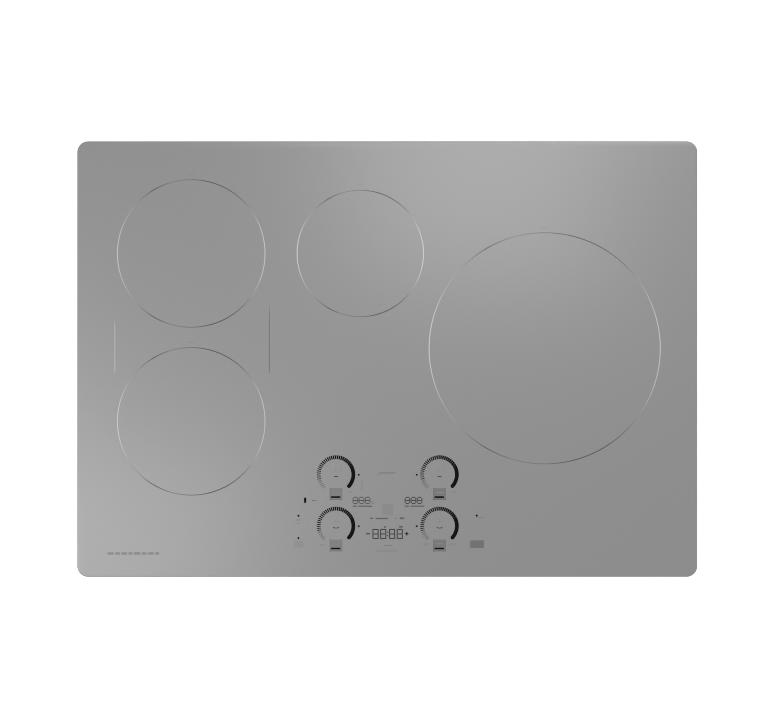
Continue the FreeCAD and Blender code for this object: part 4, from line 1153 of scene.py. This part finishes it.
def choke():
    """The mains filter's toroid: a coated core with two wire windings, in a moulded base."""
    low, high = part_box("filter_choke")
    center = (low + high) / 2
    center.z = high.z - CORE_DROP
    choke_core(center)
    choke_winding(center)
    choke_base(low, high, center)


def rounded_path(points, cuts=3):
    """A smooth curve through the points."""
    path = []
    last = len(points) - 1
    for i in range(last):
        a, b, c, d = (points[max(i - 1, 0)], points[i], points[i + 1], points[min(i + 2, last)])
        for k in range(cuts):
            t = k / cuts
            path.append(0.5 * ((2 * b) + (c - a) * t + (2 * a - 5 * b + 4 * c - d) * t * t
                               + (3 * b - a - 3 * c + d) * t ** 3))
    path.append(points[-1])
    return path


def box_solid(bm, low, high):
    corners = [bm.verts.new((x, y, z)) for z in (low[2], high[2]) for y in (low[1], high[1])
               for x in (low[0], high[0])]
    for face in ((0, 2, 3, 1), (4, 5, 7, 6), (0, 1, 5, 4), (2, 6, 7, 3), (0, 4, 6, 2), (1, 3, 7, 5)):
        bm.faces.new([corners[k] for k in face])


def bevelled(bm, width):
    bmesh.ops.bevel(bm, geom=list(bm.edges), offset=width, segments=2, affect="EDGES", profile=0.6)


PLATE_SHEET = 0.4 * MM
RULE_WIDTH = 0.35 * MM
RULE_DEPTH = 0.05 * MM
FIELD_ROWS = 6
FIELD_COLUMNS = (0.0, 0.42, 1.0)


def plate_fields():
    """Blank ruled fields on the rating plate, with nothing written in them."""
    low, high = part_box("rating_plate")
    face = low.z + PLATE_SHEET
    half = RULE_WIDTH / 2
    left, right = low.x + 7 * MM, high.x - 7 * MM
    front, rear = low.y + 3 * MM, high.y - 3 * MM
    bm = bmesh.new()
    for i in range(FIELD_ROWS):
        y = front + (rear - front) * i / (FIELD_ROWS - 1)
        box_solid(bm, (left, y - half, face - RULE_DEPTH), (right, y + half, face))
    for share in FIELD_COLUMNS:
        x = left + (right - left) * share
        box_solid(bm, (x - half, front, face - 1.4 * RULE_DEPTH), (x + half, rear, face))
    finished("rating_plate_fields", bm, "plate_ink", "base", smooth=False)


for zone in ZONE_NAMES:
    coil_winding(zone)
    springs(zone)
    coil_leads(zone)
for hand in ("left", "right"):
    clamp_screw(hand)
choke()
plate_fields()


# ---------------------------------------------------------------- studio

CAMERA_PLACE = (0.9 * MM, -0.5 * MM, GLASS_TOP + 2.629)
LENS = 100.0
FLOOR_REACH = 60.0
FLOOR_DROP = 0.2 * MM
SKY = {"From Min": 0.17, "From Max": 0.30, "To Min": 1.02, "To Max": 0.59}
LIGHTS = (
    ("rear_panel", (0.30, 0.65, 3.32), (1.0, 0.9), 2.6),
    ("far_rear_panel", (0.65, 1.30, 3.32), (0.8, 0.8), 3.0),
    ("front_panel", (-0.90, -0.90, 3.32), (0.8, 0.8), 2.1),
    ("left_panel", (-1.95, -0.65, 3.32), (0.7, 1.0), 8.9),
)


def studio():
    """A white floor, a sky that is brighter near the horizon than overhead, and soft panels above."""
    floor_mesh = bpy.data.meshes.new("floor")
    bm = bmesh.new()
    bmesh.ops.create_grid(bm, x_segments=8, y_segments=8, size=FLOOR_REACH)
    bmesh.ops.translate(bm, verts=bm.verts, vec=(0, 0, -FLOOR_DROP))
    bm.to_mesh(floor_mesh)
    bm.free()
    floor_mesh.materials.append(studio_floor())
    floor = bpy.data.objects.new("floor", floor_mesh)
    bpy.context.scene.collection.objects.link(floor)

    world = bpy.data.worlds.new("studio")
    world.use_nodes = True
    tree = world.node_tree
    background = tree.nodes["Background"]
    background.inputs["Color"].default_value = (1, 1, 1, 1)
    direction = tree.nodes.new("ShaderNodeTexCoord")
    height = tree.nodes.new("ShaderNodeSeparateXYZ")
    sky = tree.nodes.new("ShaderNodeMapRange")
    tree.links.new(direction.outputs["Generated"], height.inputs[0])
    tree.links.new(height.outputs["Z"], sky.inputs["Value"])
    for socket, value in SKY.items():
        sky.inputs[socket].default_value = value
    tree.links.new(sky.outputs["Result"], background.inputs["Strength"])
    bpy.context.scene.world = world

    for name, place, size, energy in LIGHTS:
        lamp = bpy.data.lights.new(name, "AREA")
        lamp.shape = "RECTANGLE"
        lamp.size, lamp.size_y = size
        lamp.energy = energy
        made = bpy.data.objects.new(name, lamp)
        made.location = place
        bpy.context.scene.collection.objects.link(made)


def camera():
    """Straight down on the glass."""
    data = bpy.data.cameras.new("camera")
    data.lens = LENS
    data.clip_end = 50
    made = bpy.data.objects.new("camera", data)
    made.location = CAMERA_PLACE
    bpy.context.scene.collection.objects.link(made)
    bpy.context.scene.camera = made


studio()
camera()
bpy.context.scene.view_settings.view_transform = "Standard"
bpy.context.scene.cycles.filter_width = 1.0
